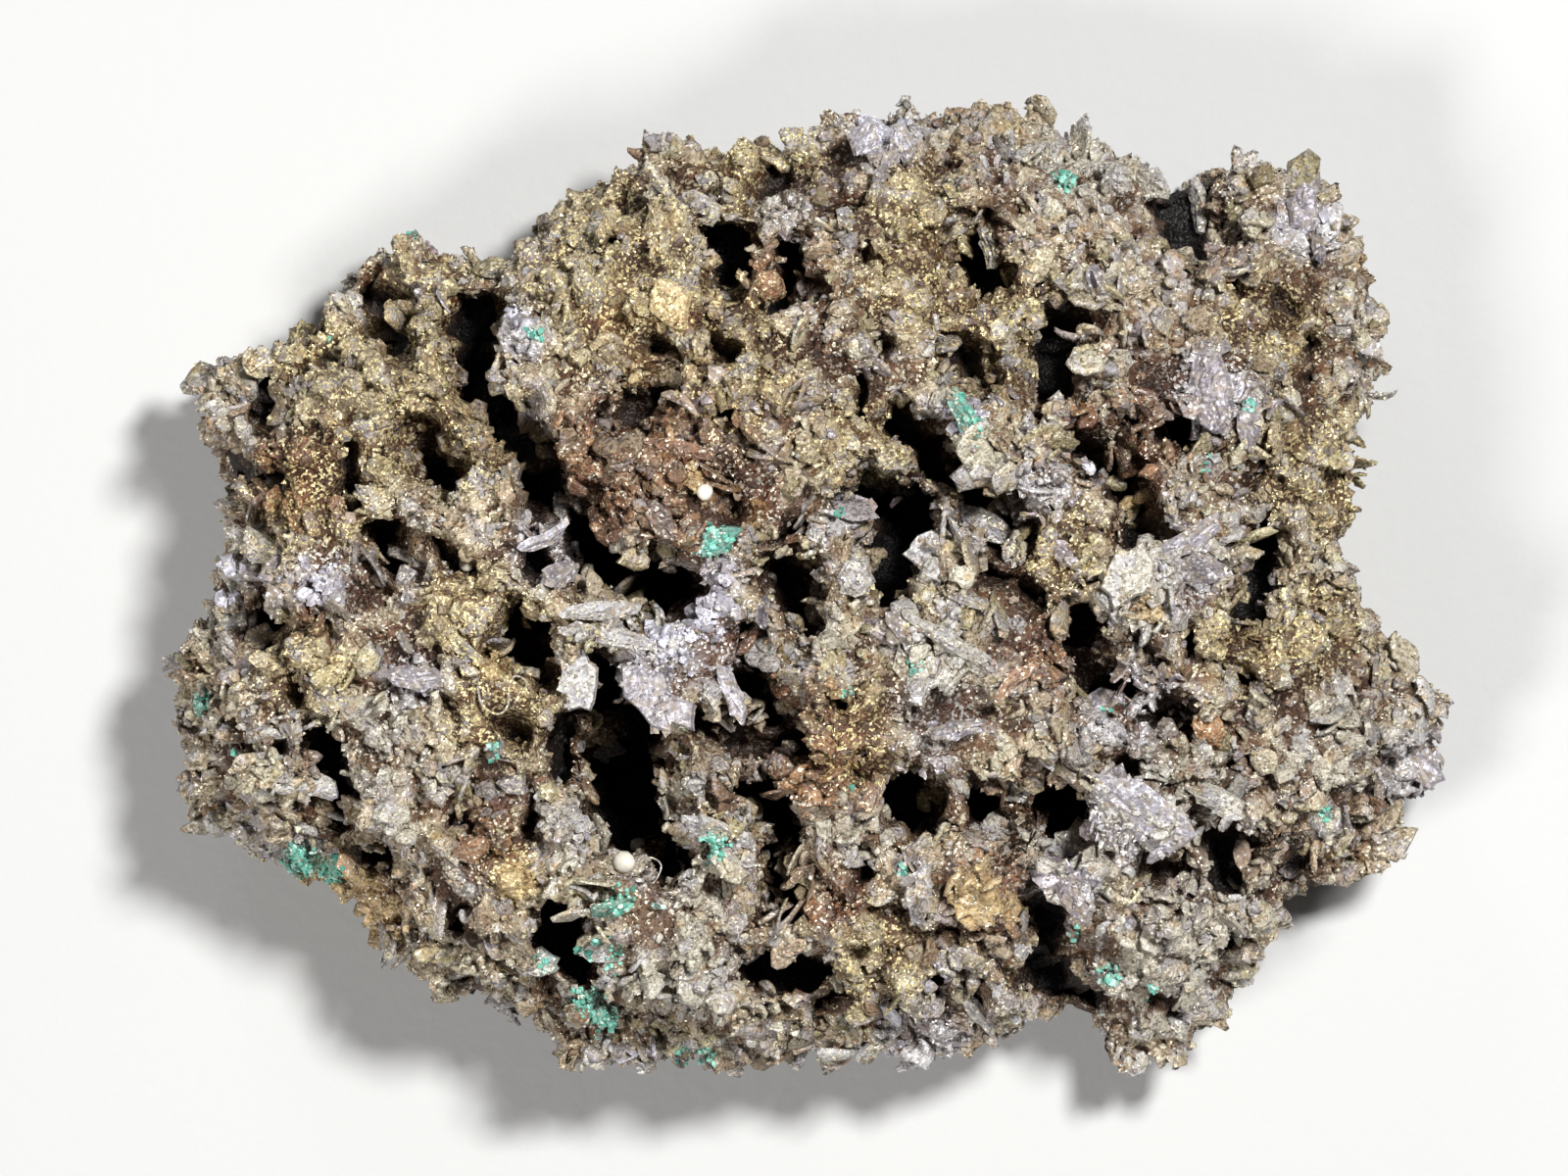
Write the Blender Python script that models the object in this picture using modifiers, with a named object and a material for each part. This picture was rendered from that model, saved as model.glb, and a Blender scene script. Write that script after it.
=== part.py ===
"""Polybasite: a crust of tabular crystals grown together on a lump of ore, small enough to hold in the palm.

The specimen lies on the flat cut at its back, with the crystal side up. Metres, +Z up, +X along the longest
side. The origin is on the ground, under the middle of the specimen.
"""

import math
import random

import bmesh
import bpy
import numpy as np
from mathutils import Matrix, Vector, noise
from mathutils.bvhtree import BVHTree

MM = 0.001

# Driving dimensions
LENGTH = 55.1 * MM
WIDTH = 41.8 * MM
HEIGHT = 22.0 * MM

# The dome: the crown stands off the middle, and the top falls away to the rim
CROWN = Vector((-3.0, -1.0)) * MM
CROWN_TOP = 20.4 * MM
RIM_TOP = 10.5 * MM
DOME_REACH = Vector((30.0, 23.0)) * MM
DOME_POWER = 2.2
SHOULDER_DROP = 4.0 * MM
SHOULDER_WIDTH = 3.5 * MM

# The flank: widest above the ground, drawn in to the cut
WAIST_HEIGHT = 6.0 * MM
BASE_SCALE = 0.89

# The crust's relief
COARSE_VOXEL = 0.8 * MM
RELIEF_VOXEL = 0.5 * MM
CRYSTAL_VOXEL = 0.3 * MM
LUMP_CELL = 3.1 * MM
LUMP_RISE = 1.5 * MM
BEAD_CELL = 1.5 * MM
BEAD_RISE = 0.6 * MM
LUMP_LEVEL = 0.47
BEAD_LEVEL = 0.5
CREASE_SHARPNESS = 1.6
BASE_MARGIN = 1.2 * MM
HOLLOW_FLOOR = 2.5 * MM
HOLLOW_GAIN = 1.7
HOLLOW_CLEARANCE = 0.6
CRUST_TRIANGLES = 7000

# A tabular crystal: a six-sided plate with slightly bevelled sides
PLATE_THICKNESS = 0.75 * MM
PLATE_BEVEL = 0.86
PLATE_LIFT = 0.12

# Smaller crystals that cover the crust at random
SMALL_CRYSTALS = 620
SMALL_LENGTHS = (1.3 * MM, 2.9 * MM)
SMALL_ASPECTS = (0.4, 0.85)
SMALL_THICKNESSES = (0.55 * MM, 0.9 * MM)
SMALL_TILTS = (10, 85)
SMALL_LOWEST = 1.5 * MM
SMALL_SEED = 7

# How much of what stands out past the outline stays, and where the flat cut goes through
TRIM_KEEP = 0.3
CUT_HEIGHT = 0.35 * MM
WELD = 0.01 * MM

# Colour of the ore, its roughness and how metallic it is
ORE_COLOUR = (0.235, 0.202, 0.153, 1.0)
ORE_ROUGHNESS = 0.55
ORE_METALLIC = 0.35

# Outline seen from above, clockwise from the left end, mm
OUTLINE = [
    (-26.2, 7.4), (-25.4, 9.4), (-22.3, 10.7), (-20.1, 13.2), (-17.6, 15), (-16.4, 15), (-15.8, 14.2),
    (-12.9, 13.8), (-12.5, 14.8), (-10.7, 16.6), (-9.2, 16.9), (-7.1, 19), (-5.9, 19.2), (-5, 18.5),
    (-3.1, 19.2), (0.9, 19.2), (0.9, 20.2), (2, 20.8), (4.1, 20.7), (5, 19.7), (5.8, 20.5), (10, 20.7),
    (11, 19), (12.9, 19.1), (15.1, 17.2), (15.3, 15.6), (15.9, 16.9), (17.9, 18.8), (18.7, 18.8),
    (22.3, 17.5), (24.1, 14.2), (24.9, 9.4), (23.8, 7), (23.2, 3.6), (23.1, 0), (25.7, -3.9), (26.7, -3.9),
    (27.5, -5.8), (27.4, -7.4), (26.5, -9.3), (25.3, -9.8), (25.4, -11), (23.1, -13.4), (20.8, -13),
    (20.6, -14), (19.1, -15.5), (18.8, -18), (17.7, -19.5), (16.1, -20.8), (13.7, -20.8), (11.8, -20.2),
    (11.9, -18.9), (10.6, -18.1), (9.3, -19), (3.7, -20.6), (2.1, -19.7), (0.1, -20.7), (-3.8, -20.9),
    (-10.4, -20.5), (-11.1, -19.4), (-13.8, -17.7), (-15.1, -18), (-17.1, -16.8), (-18.1, -14.1),
    (-23.8, -11.6), (-26.6, -9.4), (-26.3, -7.2), (-27.6, -3.1), (-26.4, -2.4), (-24.9, -0.3),
    (-25.5, 0), (-24.9, 2.4),
]

# Hollows between the crystals: width, depth and the points each one runs through, mm
HOLLOWS = [
    (1.5, 5.5, (-14.3, 11.6), (-14.2, 9.5), (-13.2, 7.6), (-11.7, 5.9)),
    (1.4, 4.5, (-11.3, 4.7), (-9.8, 3.2), (-9.2, 1.5)),
    (1.8, 6.5, (-8.9, 1.2), (-7.6, 0.3), (-6, -0.3)),
    (1.2, 4.0, (-11.9, -1.5), (-12.4, -2.6), (-11.3, -3.5)),
    (1.3, 5.0, (-8.9, -3.5), (-8.4, -4.8), (-7.1, -6.2)),
    (2.6, 8.5, (-7.8, -7.4), (-7.4, -9.7)),
    (1.3, 4.5, (-6.3, -10.3), (-5.7, -11.6)),
    (1.5, 6.5, (-1.9, -8.8), (-1, -10.1), (-1.1, -11.8), (-0.9, -13.7)),
    (1.2, 3.5, (-3.4, -6.4), (-1.9, -7), (-0.6, -6.4)),
    (1.3, 4.0, (-2.8, -3.9), (-1.7, -5.6)),
    (1.6, 6.0, (2.4, 3.4), (4.5, 3.3), (3.8, 2), (3.3, -0.1)),
    (1.2, 4.5, (3.9, 6.8), (5.8, 4.5)),
    (1.4, 4.5, (6.6, 4.7), (7.2, 3.5), (8.4, 2.4)),
    (1.2, 4.0, (-0.8, 0.3), (-0.3, -1)),
    (1.6, 6.0, (6.6, 14.7), (7.4, 13)),
    (1.4, 5.0, (-3.5, 14.4), (-3.4, 13.5)),
    (1.2, 4.5, (-0.5, 14), (-1.1, 12.2)),
    (1.2, 4.0, (-1.7, 17.9), (-1.7, 16.9)),
    (1.1, 3.5, (-7.8, 6.9), (-6.3, 8.1)),
    (1.2, 4.0, (6.3, 10), (6.9, 8.5)),
    (1.4, 5.0, (10.8, 11.3), (10.1, 9.9), (10.4, 8.6)),
    (1.6, 6.0, (15.6, 16.8), (15.9, 14.7)),
    (1.2, 4.5, (11.2, 5.8), (13, 5.1), (13.6, 3.8), (13.8, 2.2)),
    (1.2, 4.0, (15.2, 6.7), (16.3, 7)),
    (1.3, 5.5, (19.4, 2), (19.1, 0.3), (18.7, -0.9)),
    (1.2, 4.5, (11.6, -1.4), (11.1, -2.8), (11.7, -4.3), (13.4, -4.5)),
    (1.4, 4.0, (14.9, -5.8), (15.1, -6.2)),
    (1.5, 5.5, (3.3, -9), (4.5, -9.4)),
    (1.6, 5.0, (7.3, -9.4), (7.9, -9.9)),
    (1.4, 5.0, (9.6, -9), (10.8, -9.5), (10.9, -10.5)),
    (1.7, 5.0, (17.6, -11.2), (17.9, -12)),
    (1.3, 4.0, (14.6, -12.3), (15.6, -12.6)),
    (1.3, 4.5, (9.8, -13.9), (10.2, -14.9), (9.9, -16.2)),
    (1.5, 5.5, (10.1, -16.8), (11.6, -17.9)),
    (1.3, 4.5, (-1.9, -16), (-0.7, -16.5), (0.6, -16.9)),
    (1.3, 4.5, (-10.5, -13.8), (-10.9, -14.9), (-9.9, -16)),
    (1.3, 4.0, (-18.5, -11.5), (-18.1, -12)),
    (1.3, 4.5, (-20.6, -7), (-20, -8), (-20.2, -10)),
    (1.3, 4.0, (-23, -1), (-23.5, -2.4)),
    (1.2, 4.0, (-17.9, 2), (-17.6, 0.9)),
    (1.3, 4.5, (-16, 6.3), (-15.7, 4.5)),
    (1.3, 4.0, (-24.5, 6), (-24.8, 5.1)),
    (1.3, 4.0, (-23.3, 8.4), (-23.4, 7.2)),
    (1.3, 4.5, (-19.1, 13), (-18.1, 11.9), (-17.4, 10.5)),
]

# Knobs that stand proud: place, radius and rise, mm
KNOBS = [
    (-3.8, -0.8, 2.9, 1.6), (-7.4, -2.4, 2.1, 1), (-5.7, -4.5, 2.1, 1.2), (-3.8, -9.1, 2.3, 1.3),
    (1.8, -5.1, 3.8, 1.2), (0.6, 6.5, 3.1, 1), (-5.7, 12.4, 2.7, 1.2), (-8.6, 9, 1.9, 0.8),
    (2.4, 12.8, 2.7, 1.1), (5.6, -0.1, 2.1, 0.9), (14.7, 3.6, 1.8, 1.4), (9.7, 4.9, 2.5, 1),
    (12.6, 13.6, 3.3, 1), (19.7, 15.9, 2.9, 1.2), (17, 8.2, 2.5, 1), (13.9, -9.5, 2.6, 1.2),
    (14.7, -15.1, 2.9, 1), (7.2, -12.6, 2.1, 1), (1.4, -15.1, 2.5, 1), (-6.1, -14.7, 4.6, 1.8),
    (-4.4, -18, 2.5, 0.8), (-9.9, -10.5, 1.8, 1.2), (-13.6, -12.6, 2.5, 1), (-18.4, -8.5, 2.1, 1),
    (-23.8, -8.5, 2.1, 0.8), (-15.7, -0.1, 2.6, 1), (-20.7, -0.1, 2.1, 1), (-19.9, 6.5, 2.6, 0.9),
    (-16.1, 9.9, 1.8, 1.3), (-24.6, 8.2, 1.8, 1), (25.6, -6.2, 2.6, 1.2), (21.8, -10.5, 2.5, 0.9),
    (9.3, -3.5, 2.9, 1), (13.5, -0.1, 2.1, 1), (3.1, 19.9, 2.5, 0.8), (-11.1, 13.2, 1.9, 0.9),
]

# Large crystals: place, length and width in mm, heading in the plan and tilt in degrees
PLATES = [
    (-11.9, 10.5, 1.8, 1.3, -60, 35), (-6.1, 17, 1.9, 0.8, -50, 55), (2.3, 19, 1.7, 1.3, 70, 40),
    (3.7, 18.6, 1.9, 0.9, -80, 50), (20.8, 16, 2.2, 1.3, -90, 20), (16.8, 8.2, 3.8, 1.8, -80, 25),
    (18.4, 6.9, 2.3, 1.1, -90, 40), (14.6, 17, 1.8, 1.2, -40, 20), (16.6, 16.2, 2.2, 1, -80, 60),
    (7.8, 14.3, 1.8, 0.9, -75, 30), (-9.3, 12.4, 2.5, 1.5, -80, 15), (-5.8, 11.8, 2.5, 1.8, -60, 15),
    (-0.5, 11.1, 1.8, 1.1, 10, 20), (3.5, 5.4, 1.5, 1.1, 20, 20), (-2.8, 6.1, 2.2, 0.8, -70, 60),
    (-5.5, 5.8, 2.9, 0.8, -8, 45), (-3.8, 1.7, 2.2, 1.2, 30, 25), (-6.3, 2.8, 2, 0.9, -55, 30),
    (1.6, 3.2, 1.5, 1.4, 0, 10), (1.8, 0.3, 1.7, 1.5, -80, 15), (5.1, 1.3, 2.2, 1.6, -10, 15),
    (7.3, 2.4, 3.2, 1.2, -35, 25), (5.5, -2.3, 3.8, 0.9, -32, 55), (6.6, -3.3, 3.3, 0.9, -38, 50),
    (6, -6, 2.2, 0.8, 10, 30), (8.4, -3.8, 2.2, 0.9, 40, 50), (-11.3, 2.1, 2.2, 0.8, 20, 40),
    (-10.6, 0.5, 1.6, 1.3, 0, 20), (-9.8, -3.9, 2.6, 1.6, -85, 20), (-8.8, -1.2, 3.5, 0.9, 8, 60),
    (-8.4, -2.3, 3.8, 0.9, -10, 50), (-6.4, -5, 3.8, 1.7, -50, 25), (-3.5, -4.5, 2.6, 0.8, -60, 60),
    (-16.5, -3.9, 2.6, 1, -5, 35), (-24.1, 0.2, 2.6, 1, -42, 40), (-23.1, 1.6, 1.9, 1.3, -20, 20),
    (-20.9, -8.5, 2.2, 1, -15, 40), (-8.9, -7, 1.8, 1.3, 0, 30), (-11.4, -16, 2.2, 1.2, -12, 20),
    (13.9, -9.4, 4.7, 2.5, -40, 20), (10.9, -12.7, 3, 1.3, -60, 30), (7.2, -12.8, 2.6, 1.8, -80, 15),
    (4.5, -12.8, 2.6, 1.2, -95, 30), (8.7, -8.7, 2.2, 0.9, -20, 30), (17.1, -9.2, 2.6, 1.1, -25, 30),
    (12.6, -5.1, 2, 1.2, 0, 20), (15.9, 2, 3.1, 1, 33, 30), (13.5, 0.3, 2.6, 1.8, 70, 25),
    (16.2, 0.8, 2.2, 1.6, 0, 20), (6.6, 7, 2.6, 0.9, -60, 40), (-3.8, -10, 3.4, 1.2, -30, 30),
    (26.0, -7.6, 2.4, 1.3, -55, 20),
]


def clear_scene():
    for obj in list(bpy.data.objects):
        bpy.data.objects.remove(obj, do_unlink=True)


def new_collection(name, helper=False):
    collection = bpy.data.collections.new(name)
    collection.hide_render = helper
    bpy.context.scene.collection.children.link(collection)
    return collection


def ore_material():
    material = bpy.data.materials.new("ore")
    material.use_nodes = True
    shader = material.node_tree.nodes["Principled BSDF"]
    shader.inputs["Base Color"].default_value = ORE_COLOUR
    shader.inputs["Roughness"].default_value = ORE_ROUGHNESS
    shader.inputs["Metallic"].default_value = ORE_METALLIC
    return material


def apply_modifiers(obj):
    """Replaces the object's mesh with what its modifiers make of it."""
    graph = bpy.context.evaluated_depsgraph_get()
    mesh = bpy.data.meshes.new_from_object(obj.evaluated_get(graph))
    obj.modifiers.clear()
    obj.data = mesh


def remesh(obj, voxel):
    modifier = obj.modifiers.new("remesh", "REMESH")
    modifier.mode = "VOXEL"
    modifier.voxel_size = voxel
    apply_modifiers(obj)


def points_of(obj):
    points = np.empty(len(obj.data.vertices) * 3)
    obj.data.vertices.foreach_get("co", points)
    return points.reshape(-1, 3)


def normals_of(obj):
    normals = np.empty(len(obj.data.vertices) * 3)
    obj.data.vertices.foreach_get("normal", normals)
    return normals.reshape(-1, 3)


def move_points(obj, points):
    obj.data.vertices.foreach_set("co", np.ascontiguousarray(points).ravel())
    obj.data.update()


def smoothstep(value):
    value = np.clip(value, 0.0, 1.0)
    return value * value * (3.0 - 2.0 * value)


def in_metres(path):
    return [np.array(point) * MM for point in path]


def nearest_on_path(plan, path):
    """For each point in the plan, the nearest point of a run of straight pieces, and how far it is."""
    nearest = np.zeros((len(plan), 2))
    gap = np.full(len(plan), np.inf)
    for start, end in zip(path[:-1], path[1:]):
        along = end - start
        share = np.clip(((plan - start) @ along) / (along @ along), 0.0, 1.0)
        foot = start + share[:, None] * along
        off = np.linalg.norm(plan - foot, axis=1)
        closer = off < gap
        gap[closer] = off[closer]
        nearest[closer] = foot[closer]
    return nearest, gap


def inside_path(plan, path):
    """Whether each point in the plan lies inside a closed run, by counting the pieces to its right."""
    inside = np.zeros(len(plan), bool)
    for (x0, y0), (x1, y1) in zip(path[:-1], path[1:]):
        if y0 == y1:
            continue
        level = (y0 > plan[:, 1]) != (y1 > plan[:, 1])
        crossing = x0 + (x1 - x0) * (plan[:, 1] - y0) / (y1 - y0)
        inside ^= level & (plan[:, 0] < crossing)
    return inside


def slab(collection):
    """The outline as a flat curve, extruded to the full height and closed."""
    curve = bpy.data.curves.new("outline", "CURVE")
    curve.dimensions = "2D"
    curve.fill_mode = "BOTH"
    curve.extrude = HEIGHT / 2
    spline = curve.splines.new("POLY")
    spline.points.add(len(OUTLINE) - 1)
    for point, (x, y) in zip(spline.points, OUTLINE):
        point.co = (x * MM, y * MM, 0.0, 1.0)
    spline.use_cyclic_u = True
    flat = bpy.data.objects.new("outline", curve)
    collection.objects.link(flat)
    flat.location.z = HEIGHT / 2
    bpy.context.view_layer.update()
    graph = bpy.context.evaluated_depsgraph_get()
    mesh = bpy.data.meshes.new_from_object(flat.evaluated_get(graph))
    mesh.transform(flat.matrix_world)
    bpy.data.objects.remove(flat, do_unlink=True)
    welded = bmesh.new()
    welded.from_mesh(mesh)
    bmesh.ops.remove_doubles(welded, verts=welded.verts, dist=WELD)
    bmesh.ops.recalc_face_normals(welded, faces=welded.faces)
    welded.to_mesh(mesh)
    welded.free()
    body = bpy.data.objects.new("polybasite", mesh)
    collection.objects.link(body)
    return body


def shape_dome(body):
    """Lowers the slab's top to the dome and draws its foot in."""
    points = points_of(body)
    plan = points[:, :2]
    _, inset = nearest_on_path(plan, in_metres(OUTLINE + OUTLINE[:1]))
    reach = np.linalg.norm((plan - np.array(CROWN)) / np.array(DOME_REACH), axis=1)
    dome = 1.0 - np.clip(reach, 0.0, 1.0) ** DOME_POWER
    shoulder = 1.0 - smoothstep(inset / SHOULDER_WIDTH)
    top = RIM_TOP + (CROWN_TOP - RIM_TOP) * dome - SHOULDER_DROP * shoulder
    points[:, 2] *= top / HEIGHT
    foot = BASE_SCALE + (1.0 - BASE_SCALE) * smoothstep(points[:, 2] / WAIST_HEIGHT)
    points[:, :2] *= foot[:, None]
    move_points(body, points)


def lumps(point, cell):
    """1 in the middle of a lump, 0 in the creases between lumps."""
    near = noise.voronoi(point / cell, distance_metric="DISTANCE")[0]
    return min(1.0, CREASE_SHARPNESS * (near[1] - near[0]))


def raise_relief(body):
    """Pushes the crust out into lumps, beads and knobs, and leaves the foot alone."""
    points = points_of(body)
    normals = normals_of(body)
    rise = np.empty(len(points))
    for i, point in enumerate(points):
        place = Vector(point)
        rise[i] = LUMP_RISE * (lumps(place, LUMP_CELL) - LUMP_LEVEL)
        rise[i] += BEAD_RISE * (lumps(place, BEAD_CELL) - BEAD_LEVEL)
    for x, y, radius, height in KNOBS:
        off = np.linalg.norm(points[:, :2] - np.array((x, y)) * MM, axis=1)
        rise += height * MM * (1.0 - smoothstep(off / (radius * MM))) * np.clip(normals[:, 2], 0.0, 1.0)
    free = smoothstep(points[:, 2] / BASE_MARGIN)
    move_points(body, points + normals * (rise * free)[:, None])


def sink_hollows(body):
    """Lowers each column under a hollow, in proportion to its height, so the foot stays where it is."""
    points = points_of(body)
    top = points[:, 2].max()
    kept = np.ones(len(points))
    for width, depth, *path in HOLLOWS:
        _, off = nearest_on_path(points[:, :2], in_metres(path))
        profile = 1.0 - smoothstep(off / (width * MM))
        kept = np.minimum(kept, 1.0 - HOLLOW_GAIN * depth * MM / top * profile)
    above = np.maximum(points[:, 2] - HOLLOW_FLOOR, 0.0)
    points[:, 2] -= above * (1.0 - kept)
    move_points(body, points)


def decimate(body, triangles):
    body.data.calc_loop_triangles()
    modifier = body.modifiers.new("decimate", "DECIMATE")
    modifier.use_collapse_triangulate = True
    modifier.ratio = triangles / len(body.data.loop_triangles)
    apply_modifiers(body)


def add_plate(shape, size, place, up, heading, tilt):
    """A six-sided plate that is half sunk at a place on the crust."""
    made = bmesh.ops.create_cone(
        shape, cap_ends=True, segments=6, radius1=0.5, radius2=0.5 * PLATE_BEVEL, depth=1.0
    )
    lean = Vector((0.0, 0.0, 1.0)).rotation_difference(up).to_matrix()
    turn = Matrix.Rotation(heading, 3, "Z") @ Matrix.Rotation(tilt, 3, "X")
    stretch = Matrix.Diagonal(size) @ Matrix.Rotation(math.radians(30), 3, "Z")
    lift = up * PLATE_LIFT * size.y * math.sin(abs(tilt))
    whole = Matrix.Translation(place + lift) @ (lean @ turn @ stretch).to_4x4()
    bmesh.ops.transform(shape, matrix=whole, verts=made["verts"])


def grow_small_crystals(body):
    """Sows small plates over the crust and lets them grow together with it."""
    chance = random.Random(SMALL_SEED)
    shape = bmesh.new()
    shape.from_mesh(body.data)
    ground = [face for face in shape.faces if face.calc_center_median().z > SMALL_LOWEST]
    sown = chance.choices(ground, weights=[face.calc_area() for face in ground], k=SMALL_CRYSTALS)
    seats = [(face.calc_center_median(), face.normal.copy()) for face in sown]
    for place, normal in seats:
        length = chance.uniform(*SMALL_LENGTHS)
        size = Vector((length, length * chance.uniform(*SMALL_ASPECTS), chance.uniform(*SMALL_THICKNESSES)))
        tilt = math.radians(chance.uniform(*SMALL_TILTS))
        if in_hollow(place):
            continue
        add_plate(shape, size, place, normal, chance.uniform(0, math.pi), tilt)
    bmesh.ops.recalc_face_normals(shape, faces=shape.faces)
    shape.to_mesh(body.data)
    shape.free()


def in_hollow(place):
    """Whether a place lies in the open middle of one of the hollows."""
    plan = np.array([(place.x, place.y)])
    return any(
        nearest_on_path(plan, in_metres(path))[1][0] < HOLLOW_CLEARANCE * width * MM
        for width, _, *path in HOLLOWS
    )


def trim_to_outline(body):
    """Draws in whatever stands out past the outline, so that the silhouette keeps its shape."""
    points = points_of(body)
    plan = points[:, :2]
    edge = in_metres(OUTLINE + OUTLINE[:1])
    nearest, _ = nearest_on_path(plan, edge)
    outside = ~inside_path(plan, edge)
    drawn = nearest + TRIM_KEEP * (plan - nearest)
    points[outside, :2] = drawn[outside]
    move_points(body, points)


def keep_outer_skin(body):
    """Removes every closed shell but the largest, such as a bubble between crystals."""
    shape = bmesh.new()
    shape.from_mesh(body.data)
    unseen = set(shape.verts)
    shells = []
    while unseen:
        edge = [unseen.pop()]
        shell = set(edge)
        while edge:
            vert = edge.pop()
            near = {link.other_vert(vert) for link in vert.link_edges} & unseen
            unseen -= near
            shell |= near
            edge.extend(near)
        shells.append(shell)
    largest = max(shells, key=len)
    for shell in shells:
        if shell is not largest:
            bmesh.ops.delete(shape, geom=list(shell), context="VERTS")
    shape.to_mesh(body.data)
    shape.free()


def grow_large_plates(body, collection):
    """The large crystals that stand out, each where the eye finds it from above."""
    surface = BVHTree.FromObject(body, bpy.context.evaluated_depsgraph_get())
    for i, (x, y, length, width, heading, tilt) in enumerate(PLATES):
        place, normal, _, _ = surface.ray_cast(Vector((x * MM, y * MM, 2 * HEIGHT)), Vector((0, 0, -1)))
        up = (normal + Vector((0, 0, 1.0))).normalized()
        shape = bmesh.new()
        add_plate(shape, Vector((length * MM, width * MM, PLATE_THICKNESS)), place, up,
                  math.radians(heading), math.radians(tilt))
        bmesh.ops.recalc_face_normals(shape, faces=shape.faces)
        mesh = bpy.data.meshes.new(f"crystal_{i + 1:02d}")
        shape.to_mesh(mesh)
        shape.free()
        crystal = bpy.data.objects.new(mesh.name, mesh)
        crystal.hide_render = True
        crystal.display_type = "WIRE"
        collection.objects.link(crystal)


def ground_cutter(collection):
    """Everything below the ground."""
    bpy.ops.mesh.primitive_cube_add(size=1.0)
    cutter = bpy.context.active_object
    cutter.name = "ground_cut"
    cutter.scale = (2 * LENGTH, 2 * LENGTH, HEIGHT)
    cutter.location.z = CUT_HEIGHT - HEIGHT / 2
    bpy.ops.object.transform_apply(location=True, rotation=False, scale=True)
    for linked in list(cutter.users_collection):
        linked.objects.unlink(cutter)
    collection.objects.link(cutter)
    cutter.hide_render = True
    cutter.display_type = "WIRE"
    return cutter


def join_and_cut(body, crystals, cutter):
    union = body.modifiers.new("crystals", "BOOLEAN")
    union.operation = "UNION"
    union.operand_type = "COLLECTION"
    union.collection = crystals
    union.solver = "EXACT"
    cut = body.modifiers.new("flat cut", "BOOLEAN")
    cut.operation = "DIFFERENCE"
    cut.object = cutter
    cut.solver = "EXACT"
    apply_modifiers(body)


def fit_to_size(body):
    """Brings the box to the driving dimensions, with the origin under its middle."""
    points = points_of(body)
    low = points.min(axis=0)
    high = points.max(axis=0)
    middle = (low + high) / 2
    middle[2] = low[2]
    points = (points - middle) * (np.array((LENGTH, WIDTH, HEIGHT)) / (high - low))
    move_points(body, points)


def build():
    clear_scene()
    specimen = new_collection("polybasite")
    crystals = new_collection("crystals", helper=True)
    cutters = new_collection("cutters", helper=True)
    body = slab(specimen)
    remesh(body, COARSE_VOXEL)
    shape_dome(body)
    remesh(body, RELIEF_VOXEL)
    raise_relief(body)
    sink_hollows(body)
    remesh(body, RELIEF_VOXEL)
    grow_small_crystals(body)
    remesh(body, CRYSTAL_VOXEL)
    keep_outer_skin(body)
    trim_to_outline(body)
    decimate(body, CRUST_TRIANGLES)
    grow_large_plates(body, crystals)
    join_and_cut(body, crystals, ground_cutter(cutters))
    fit_to_size(body)
    body.data.materials.clear()
    body.data.materials.append(ore_material())
    body.data.shade_flat()


build()
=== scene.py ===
import math

import bpy
import numpy as np
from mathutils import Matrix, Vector, noise
from mathutils.bvhtree import BVHTree


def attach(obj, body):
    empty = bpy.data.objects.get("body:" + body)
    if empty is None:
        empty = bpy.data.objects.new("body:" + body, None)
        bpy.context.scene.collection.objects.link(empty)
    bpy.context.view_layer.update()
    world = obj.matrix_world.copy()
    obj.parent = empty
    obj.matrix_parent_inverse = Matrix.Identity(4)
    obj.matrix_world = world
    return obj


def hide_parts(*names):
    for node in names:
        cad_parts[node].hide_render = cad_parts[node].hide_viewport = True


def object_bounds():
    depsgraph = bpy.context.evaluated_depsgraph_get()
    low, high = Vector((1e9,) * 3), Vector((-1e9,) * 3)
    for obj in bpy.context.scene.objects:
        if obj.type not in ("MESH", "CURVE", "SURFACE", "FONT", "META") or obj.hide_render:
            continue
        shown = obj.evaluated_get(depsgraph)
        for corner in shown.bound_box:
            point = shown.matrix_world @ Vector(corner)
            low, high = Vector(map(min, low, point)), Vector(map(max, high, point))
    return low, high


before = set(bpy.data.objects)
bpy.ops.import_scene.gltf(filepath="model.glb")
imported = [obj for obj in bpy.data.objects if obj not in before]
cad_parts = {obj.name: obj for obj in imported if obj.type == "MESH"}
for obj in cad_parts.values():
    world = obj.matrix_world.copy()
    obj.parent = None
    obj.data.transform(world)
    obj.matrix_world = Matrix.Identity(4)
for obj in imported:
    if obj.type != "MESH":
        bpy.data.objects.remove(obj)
CAD_BOX = [list(corner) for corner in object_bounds()]

MM = 0.001
NODE = "polybasite"

# The photograph's frame: 24 pixels a millimetre, and its middle in the specimen's own coordinates
PHOTO_WIDTH = 1600 / 24 * MM
PHOTO_MIDDLE = (-1.1 * MM, -0.1 * MM)
CAMERA_HEIGHT = 700 * MM
SENSOR = 36.0
OUTLINE_HEIGHT = 7 * MM

# The crust's mesh and its relief: cell size and rise of the lumps, in mm
CRUST_VOXEL = 0.32 * MM
RELIEF = [(2.3, 0.75), (1.15, 0.42), (0.66, 0.26)]
LUMP_LEVEL = 0.72
ROUGH_SCALE = 0.55
ROUGH_RISE = 0.18
FOOT = 0.5 * MM
HOLLOW_FLOOR = 2.5 * MM
HOLLOW_SINK = 0.35
HOLLOW_WIDEN = 0.86

# Places lower than the surface around them get painted shade and are rustier
CHART_STEP = 0.5 * MM
CHART_BLUR = 3.2
SUNK_DEPTH = 1.3 * MM

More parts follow.
